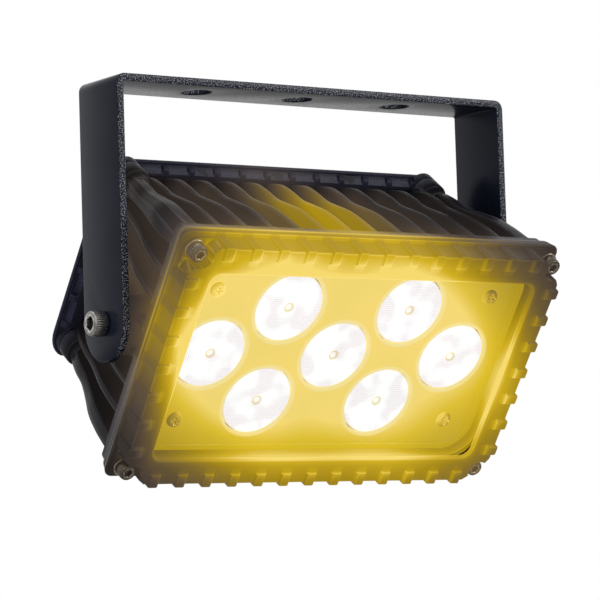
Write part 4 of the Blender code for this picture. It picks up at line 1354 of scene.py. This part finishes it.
@dataclass
class RearCover:
    """Die-cast cover: a raised panel, a rim with a rib for each fin, and four bosses.

    Attributes:
        stations: its section, from the panel's face round the rim to the cavity's floor.
        ribs: side view (reach, y) of a rib.
        rim: where a rib's reach is zero, above and beside the middle.
        rib_half: half a rib's width.
        rib_edge: width of the bevel at its faces, and the side view's share of its size there.
        sag: height below the middle from which the rim is lowered, and by what share.
        boss: profile of the bosses for the screws.
        counterbore: profile of their holes.
        gland_bore: profile of the holes for the glands.
    """

    stations: tuple[Station, ...] = (
        (56.5, 63.6, 35.6, 4.4), (56.35, 64.2, 36.2, 4.8), (55.9, 64.6, 36.6, 5.1),
        (53.6, 65.7, 37.7, 5.9), (53.15, 66.1, 38.1, 6.1), (53.0, 66.7, 38.7, 6.4),
        (53.0, 79.1, 42.4, 6.6), (52.85, 79.7, 43.0, 7.0), (52.4, 80.15, 43.55, 7.4),
        (52.1, 80.2, 43.6, 7.5), (51.3, 80.2, 43.6, 7.5), (51.0, 80.1, 43.5, 7.5),
        (50.8, 79.8, 43.2, 7.3), (50.8, 79.2, 42.6, 7.3), (50.5, 78.7, 42.1, 7.3),
        (47.8, 76.4, 39.8, 7.3), (47.5, 75.9, 39.3, 7.0), (47.5, 70.7, 35.5, 5.0),
        (48.9, 70.7, 35.5, 5.0), (48.9, 68.9, 33.7, 5.0), (47.5, 68.9, 33.7, 5.0),
        (47.5, 62.3, 31.8, 4.7), (47.8, 62.0, 31.5, 4.5), (53.5, 62.0, 31.5, 4.5))
    ribs: tuple[Pair, ...] = (
        (-4.0, 47.7), (-0.4, 47.7), (0.2, 47.72), (0.9, 47.86), (1.6, 48.15), (2.1, 48.55),
        (2.5, 49.1), (2.8, 49.8), (2.95, 50.4), (3.0, 51.0), (-4.0, 51.0))
    rim: Pair = (39.6, 76.2)
    rib_half: float = 1.3
    rib_edge: Pair = (0.25, 0.93)
    sag: Pair = (36.0, 0.5)
    boss: tuple[Pair, ...] = ((6.2, 47.5), (6.6, 47.7), (6.7, 48.1), (6.7, 51.0))
    counterbore: tuple[Pair, ...] = (
        (M4_BORE, 47.0), (M4_BORE, 50.4), (4.2, 50.4), (4.2, 52.7), (4.7, 53.2), (4.7, 54.0))
    gland_bore: tuple[Pair, ...] = ((8.2, 53.0), (8.2, 57.0))

    def lowered(self, skin: Skin) -> Skin:
        """Return a skin whose rim reaches further down: z - sag (|z| - start) below -start."""
        start, sag = self.sag
        points = skin.points.copy()
        points[..., 2] += sag * np.minimum(points[..., 2] + start, 0.0)
        return Skin(points, skin.ends)

    def rib_skins(self) -> list[Skin]:
        """Return the ribs: their side view (reach, y) carried across, drawn in at both faces."""
        view = np.array(self.ribs)
        middle = view.mean(axis=0)
        half, (bevel, size) = self.rib_half, self.rib_edge
        rows = [(-half, size), (-half + bevel, 1.0), (half - bevel, 1.0), (half, size)]
        shape = np.stack([np.column_stack([np.full(len(view), place),
                                           middle + share * (view - middle)])
                          for place, share in rows])
        made = []
        for side in (-1, 1):
            for centre in spread(TOP_FINS, TOP_PITCH):
                made.append(Skin(np.stack([centre + shape[..., 0], shape[..., 2],
                                           side * (self.rim[0] + shape[..., 1])], axis=-1)))
            for centre in spread(SIDE_FINS, SIDE_PITCH):
                made.append(Skin(np.stack([side * (self.rim[1] + shape[..., 1]), shape[..., 2],
                                           centre + shape[..., 0]], axis=-1)))
        return made

    def build(self, coat: bpy.types.Material) -> None:
        """Make the cover."""
        Piece("panelled_cover", "rear_cover", "housing_coat").build(
            self.lowered(block(self.stations)), coat,
            [("UNION", [self.lowered(rib) for rib in self.rib_skins()]),
             ("UNION", turned(self.boss, four(COVER_SCREW))),
             ("DIFFERENCE", turned(self.counterbore, four(COVER_SCREW))
              + turned(self.gland_bore, GLANDS))])


@dataclass
class Fasteners:
    """Socket cap screws of the bezel and the cover, and the washers under the front ones."""

    washer: tuple[Pair, ...] = (
        (M4_BORE, -28.5), (4.05, -28.5), (4.2, -28.65), (4.2, -28.95), (4.05, -29.1),
        (M4_BORE, -29.1))

    def build(self) -> None:
        """Make the screws and washers."""
        # The frame screws' steel is painted a dark amber, with a share of the glow, for the lamp's
        # light on them; their edges get a painted highlight.
        front = TurnedSteel("amber_lit_steel_of_frame_screws", "#453f33", "#302c24", "#8c8474",
                            glow=0.45).material()
        rear = TurnedSteel("turned_steel_of_cover_screws").material()
        build_set("frame_flat_washer", "frame_washer", "stainless_steel",
                  turned(self.washer, four(FRAME_SCREW), ends=Ends.JOINED), front)
        build_set("frame_cap_screw", "frame_screw", "stainless_steel",
                  M4_CAP.skins(base=-29.4, tip=-16.8, places=four(FRAME_SCREW)), front)
        build_set("cover_cap_screw", "rear_cover_screw", "stainless_steel",
                  M4_CAP.skins(base=50.7, tip=40.4, places=four(COVER_SCREW)), rear)


@dataclass
class LampModule:
    """Tray with its screws, lenses and diodes."""

    tray: tuple[Station, ...] = (
        (-21.2, 80.6, 43.6, 12.3), (-21.4, 80.8, 43.8, 12.5), (-23.0, 80.8, 43.8, 12.5),
        (-23.2, 80.55, 43.55, 12.3), (-23.2, 78.9, 41.9, 10.6), (-23.05, 78.5, 41.5, 10.2),
        (-22.7, 78.3, 41.3, 10.0))
    lens: tuple[Pair, ...] = (
        (0.5, -21.72), (1.5, -21.70), (1.95, -21.82), (2.2, -22.12), (2.6, -22.3),
        (5.0, -22.34), (8.0, -22.36), (11.0, -22.34), (14.2, -22.3), (14.6, -22.25),
        (14.92, -22.0), (15.0, -21.7), (15.0, -20.5), (14.8, -20.2), (12.0, -17.8),
        (9.2, -14.8), (6.8, -12.2), (6.5, -12.0), (4.3, -12.0), (4.0, -13.6), (3.4, -15.0),
        (2.0, -15.5), (0.5, -15.6))
    diode: tuple[Pair, ...] = (
        (0.3, -13.9), (0.9, -13.82), (1.4, -13.6), (1.75, -13.25), (1.9, -12.9), (2.4, -12.9),
        (2.4, -12.0))
    opening: tuple[Pair, ...] = ((15.55, -24.0), (15.55, -23.1), (15.3, -22.72), (15.3, -20.0))

    def build(self) -> None:
        """Make the module."""
        # The tray screws' steel is painted yellow, with most of the glow, for the lamp's light on
        # them.
        steel = TurnedSteel("amber_lit_steel_of_tray_screws", "#5a5238", "#40391f", "#8c8474",
                            glow=0.85).material()
        holes = turned(self.opening, LENSES, 96)
        holes += bores(M3_BORE, (-20.0, -24.0), four(TRAY_SCREW))
        Piece("metallised_tray", "lens_tray", "lit_tray").build(
            block(self.tray, arc=12), LitTray().material(), [("DIFFERENCE", holes)])
        silicone = Moulded("amber_diode_silicone", "#e8c23c", "#f4d45a", 0.25).material()
        build_set("pillow_lens", "lens", "lens_acrylic", turned(self.lens, LENSES, 96),
                  LitLens().material())
        build_set("domed_diode", "led", "led_silicone", turned(self.diode, LENSES, 32), silicone)
        build_set("tray_cross_screw", "tray_screw", "stainless_steel",
                  M3_PAN.skins(base=-23.0, tip=-13.0, places=four(TRAY_SCREW)), steel)


@dataclass
class Driver:
    """Power supply behind the middle wall: board, transformer, capacitor and terminals."""

    transformer: Pair = (-16.0, 2.0)
    wound: tuple[Station, ...] = (
        (7.9, 15.4, 12.4, 1.2), (8.2, 15.9, 12.9, 1.5), (11.0, 16.0, 13.0, 1.5),
        (11.4, 14.6, 11.6, 3.0), (23.5, 14.6, 11.6, 3.0), (23.9, 16.0, 13.0, 1.5),
        (26.7, 15.9, 12.9, 1.5), (27.0, 15.4, 12.4, 1.2))
    capacitor: Pair = (17.0, 4.0)
    can: tuple[Pair, ...] = (
        (8.6, 7.9), (9.0, 8.3), (9.0, 10.2), (8.5, 10.7), (8.5, 11.1), (9.0, 11.6),
        (9.0, 31.2), (8.8, 31.7), (8.2, 32.0), (7.6, 31.7), (1.2, 31.6))
    terminals: Pair = (38.0, 0.0)
    strip: tuple[Station, ...] = (
        (7.9, 5.3, 10.8, 0.7), (8.1, 5.5, 11.0, 0.8), (14.0, 5.5, 11.0, 0.8),
        (17.2, 4.6, 11.0, 0.8), (18.0, 4.3, 10.7, 0.7))

    def build(self) -> None:
        """Make the pieces that stand on the board."""
        tape = Moulded("yellow_transformer_tape", "#a8851c", "#c9a42e", 0.45, 0.6).material()
        Piece("wound_transformer", "driver_transformer", "transformer_core").build(
            block(self.wound, self.transformer), tape)
        sleeve = Moulded("black_capacitor_sleeve", "#0d0d12", "#191922", 0.3, 0.8).material()
        Piece("sleeved_capacitor", "driver_capacitor", "capacitor_sleeve").build(
            lathe(self.can, self.capacitor), sleeve)
        green = Moulded("green_terminal_plastic", "#0d4a20", "#14602b", 0.42, 0.6).material()
        x, z = self.terminals
        wells = bores(2.2, (13.5, 19.0), [(x, z + place) for place in (-6.0, 0.0, 6.0)])
        Piece("screw_terminals", "terminal_block", "terminal_plastic").build(
            block(self.strip, self.terminals), green, [("DIFFERENCE", wells)])
        steel = TurnedSteel("turned_steel_of_driver_screws").material()
        build_set("driver_cross_screw", "driver_screw", "stainless_steel",
                  M3_PAN.skins(base=7.9, tip=1.0, places=DRIVER_SCREWS), steel)


@dataclass
class Glands:
    """Two M16 cable glands: hexagon body, gripped dome nut and bored seal."""

    flats: float = 19.0
    grips: int = 18
    seal: tuple[Pair, ...] = (
        (3.5, 66.3), (6.8, 66.3), (7.0, 66.5), (7.0, 69.0), (4.3, 71.1), (4.3, 74.8),
        (4.1, 75.0), (3.7, 75.0), (3.5, 74.8))

    def body_profile(self) -> list[tuple[Reach, float]]:
        """Return the gland's body, round its bore and over its hexagon."""
        at_edges, full = hexagon(self.flats, 0.1), hexagon(self.flats)
        return [(4.4, 50.5), (7.6, 50.5), (7.9, 50.8), (7.9, 56.8), (at_edges, 56.8), (full, 57.4),
                (full, 61.2), (at_edges, 61.8), (7.0, 61.8), (7.0, 66.0), (4.4, 66.0)]

    def nut_profile(self) -> list[tuple[Reach, float]]:
        """Return the dome nut, from its skirt over the grips to the cable's hole."""
        grip = fluted(10.0, 0.5, self.grips)
        top = fluted(9.75, 0.4, self.grips)
        return [(7.3, 62.1), (9.5, 62.1), (9.85, 62.4), (grip, 62.9), (grip, 68.6),
                (top, 69.3), (9.2, 70.6), (8.7, 72.0), (8.1, 73.1), (7.3, 73.9), (6.3, 74.4),
                (5.4, 74.5), (4.8, 74.4), (4.6, 74.1), (4.6, 71.3), (7.3, 69.2)]

    def build(self) -> None:
        """Make both glands."""
        nylon = Moulded("black_nylon_of_glands", "#101012", "#1b1b1e", 0.42).material()
        rubber = Moulded("black_gland_rubber", "#0c0c0c", "#151515", 0.72).material()
        rows = (("hexagon_body", "gland_body", "black_nylon", self.body_profile(), 72, nylon),
                ("dome_nut", "gland_nut", "black_nylon", self.nut_profile(), 8 * self.grips,
                 nylon),
                ("bored_seal", "gland_seal", "seal_rubber", self.seal, 48, rubber))
        for label, place in zip(("left", "right"), GLANDS):
            for name, node, slot, profile, steps, material in rows:
                Piece(f"{label}_{name}", f"{label}_{node}", slot).build(
                    lathe(profile, place, steps, ends=Ends.JOINED), material)


class KeptNodes:
    """CAD nodes whose shape is right as it is."""

    def build(self) -> None:
        """Give each kept node its material."""
        rubber = Moulded("black_seal_rubber", "#0e0e0d", "#181817", 0.7).material()
        finishes = {
            "front_glass": TemperedGlass().material(),
            "glass_gasket": rubber, "frame_gasket": rubber, "rear_cover_gasket": rubber,
            "led_board": CircuitBoard("white_solder_resist", "#d8d8d4", "#c6c2b6").material(),
            "driver_board": CircuitBoard("green_solder_resist", "#12502c", "#1d6b3a").material(),
            "thermal_pad": Moulded("grey_thermal_pad", "#5c5f63", "#73767a", 0.8, 0.4).material(),
        }
        for name, material in finishes.items():
            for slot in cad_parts[name].material_slots:
                slot.material = material
            LOG.info("%s keeps its CAD shape", name)


@dataclass
class Studio:
    """Camera, lamps, world and floor.

    Attributes:
        eye: the camera's place in the part's frame, in millimetres.
        heading: its bearing from +Y towards +X, in degrees.
        climb: how far it looks up, in degrees.
        roll: its turn about its own axis, in degrees.
        lens: focal length in millimetres, on a 36 mm sensor.
        floor: height of the floor and half its width, in millimetres.
        cloud: width of the floor's patches, in millimetres.
        dim: strength of the world for rays that only light the part.
        middle: what the area lamps face, in metres.
        softboxes: name, place and size in metres, and power in watts, of each area lamp.
    """

    eye: Triple = (-653.76, -971.87, -187.31)
    heading: float = 33.85
    climb: float = 5.03
    roll: float = -1.84
    lens: float = 175.48
    floor: Pair = (-450.0, 4000.0)
    cloud: float = 400.0
    dim: float = 0.5
    middle: Triple = (0.0, 0.0, -0.09)
    softboxes: tuple[tuple[str, Triple, Pair, float], ...] = (
        ("key_softbox", (0.72, -0.92, 0.42), (0.4, 0.4), 4.5),
        ("top_softbox", (0.0, 0.3, 0.95), (0.7, 0.3), 2.5),
        ("left_softbox", (-1.2, -0.9, 0.2), (0.6, 0.6), 2.5))

    @staticmethod
    def aim(thing: bpy.types.Object, *columns: Sequence[float]) -> None:
        """Set an object's axes x, y and z, and its place in metres."""
        matrix = np.eye(4)
        matrix[:3] = np.stack(columns, axis=-1)
        thing.matrix_world = matrix.T.tolist()

    def set_camera(self) -> None:
        """Make the camera: its axes are the heading's, tipped by the climb and the roll."""
        turn, rise, lean = (math.radians(value) for value in (self.heading, self.climb, self.roll))
        ahead = np.array([math.sin(turn) * math.cos(rise), math.cos(turn) * math.cos(rise),
                          math.sin(rise)])
        level = np.array([math.cos(turn), -math.sin(turn), 0.0])
        over = np.cross(level, ahead)
        right = level * math.cos(lean) + over * math.sin(lean)
        data = bpy.data.cameras.new("camera")
        data.lens, data.sensor_width, data.clip_start = self.lens, 36.0, 0.05
        camera = new_object("camera", data)
        self.aim(camera, right, np.cross(right, ahead), -ahead, np.array(self.eye) * MM)
        bpy.context.scene.camera = camera

    def add_softbox(self, name: str, place: Triple, size: Pair,
                    power: float) -> None:
        """Add an oblong area lamp."""
        data = bpy.data.lights.new(name, "AREA")
        data.shape, data.energy = "RECTANGLE", power
        data.size, data.size_y = size
        back = np.array(place) - np.array(self.middle)
        back = back / np.linalg.norm(back)
        side = np.cross((0.0, 0.0, 1.0), back)
        side = side / np.linalg.norm(side)
        self.aim(new_object(name, data), side, np.cross(back, side), back, place)

    def set_world(self) -> None:
        """Show white to the camera, to gloss and through glass, and light softly otherwise."""
        world = bpy.data.worlds.new("studio")
        bpy.context.scene.world = world
        world.use_nodes = True
        tree = world.node_tree
        background = tree.nodes["Background"]
        path = tree.nodes.new("ShaderNodeLightPath")
        seen: Any = path.outputs["Is Camera Ray"]
        for name in ("Is Glossy Ray", "Is Transmission Ray"):
            both = tree.nodes.new("ShaderNodeMath")
            both.operation = "MAXIMUM"
            tree.links.new(seen, both.inputs[0])
            tree.links.new(path.outputs[name], both.inputs[1])
            seen = both.outputs[0]
        level = tree.nodes.new("ShaderNodeMapRange")
        tree.links.new(seen, level.inputs[0])
        level.inputs[3].default_value, level.inputs[4].default_value = self.dim, 1.0
        tree.links.new(level.outputs[0], background.inputs["Strength"])
        background.inputs["Color"].default_value = (1.0, 1.0, 1.0, 1.0)

    def add_floor(self) -> None:
        """Add a wide pale floor well below the part."""
        level, half = (size * MM for size in self.floor)
        mesh = bpy.data.meshes.new("floor")
        mesh.from_pydata([(-half, -half, level), (half, -half, level), (half, half, level),
                          (-half, half, level)], [], [(0, 1, 2, 3)])
        graph = Graph("pale_floor")
        cloud = graph.add("TexNoise", {"Vector": graph.own_millimetres(PART),
                                       "Scale": 1.0 / self.cloud})
        graph.shade(Roughness=0.9,
                    Base_Color=graph.add("ValToRGB", (cloud,),
                                         stops=((0.3, "#ededed"), (0.7, "#f3f3f3"))))
        mesh.materials.append(graph.material)
        thing = new_object("floor", mesh)

    def build(self) -> None:
        """Set up the studio."""
        bpy.context.scene.view_settings.view_transform = "Standard"
        self.set_camera()
        self.set_world()
        self.add_floor()
        for softbox in self.softboxes:
            self.add_softbox(*softbox)


def main() -> None:
    logging.basicConfig(level=logging.INFO, format="%(name)s: %(message)s")
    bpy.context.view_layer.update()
    Studio().build()
    # Each coat's third colour is a highlight painted on its edges, and its glow is painted lamp
    # light.
    casting = PowderCoat("charcoal_casting_coat", "#090a0f", "#15161d", "#3c3d48",
                         gloss=0.04, glow=1.0).material()
    bezel = PowderCoat("charcoal_bezel_coat", "#0a0908", "#13110f", "#2c2824",
                       gloss=0.04, glow=1.0).material()
    panel = PowderCoat("charcoal_cover_coat", "#10111a", "#1d1f2e", "#34364a", glow=1.0).material()
    Bracket().build()
    TiltJoint().build()
    Housing().build(casting)
    FrontFrame().build(bezel)
    RearCover().build(panel)
    Fasteners().build()
    for assembly in (LampModule(), Driver(), Glands(), KeptNodes()):
        assembly.build()


if __name__ == "__main__":
    main()
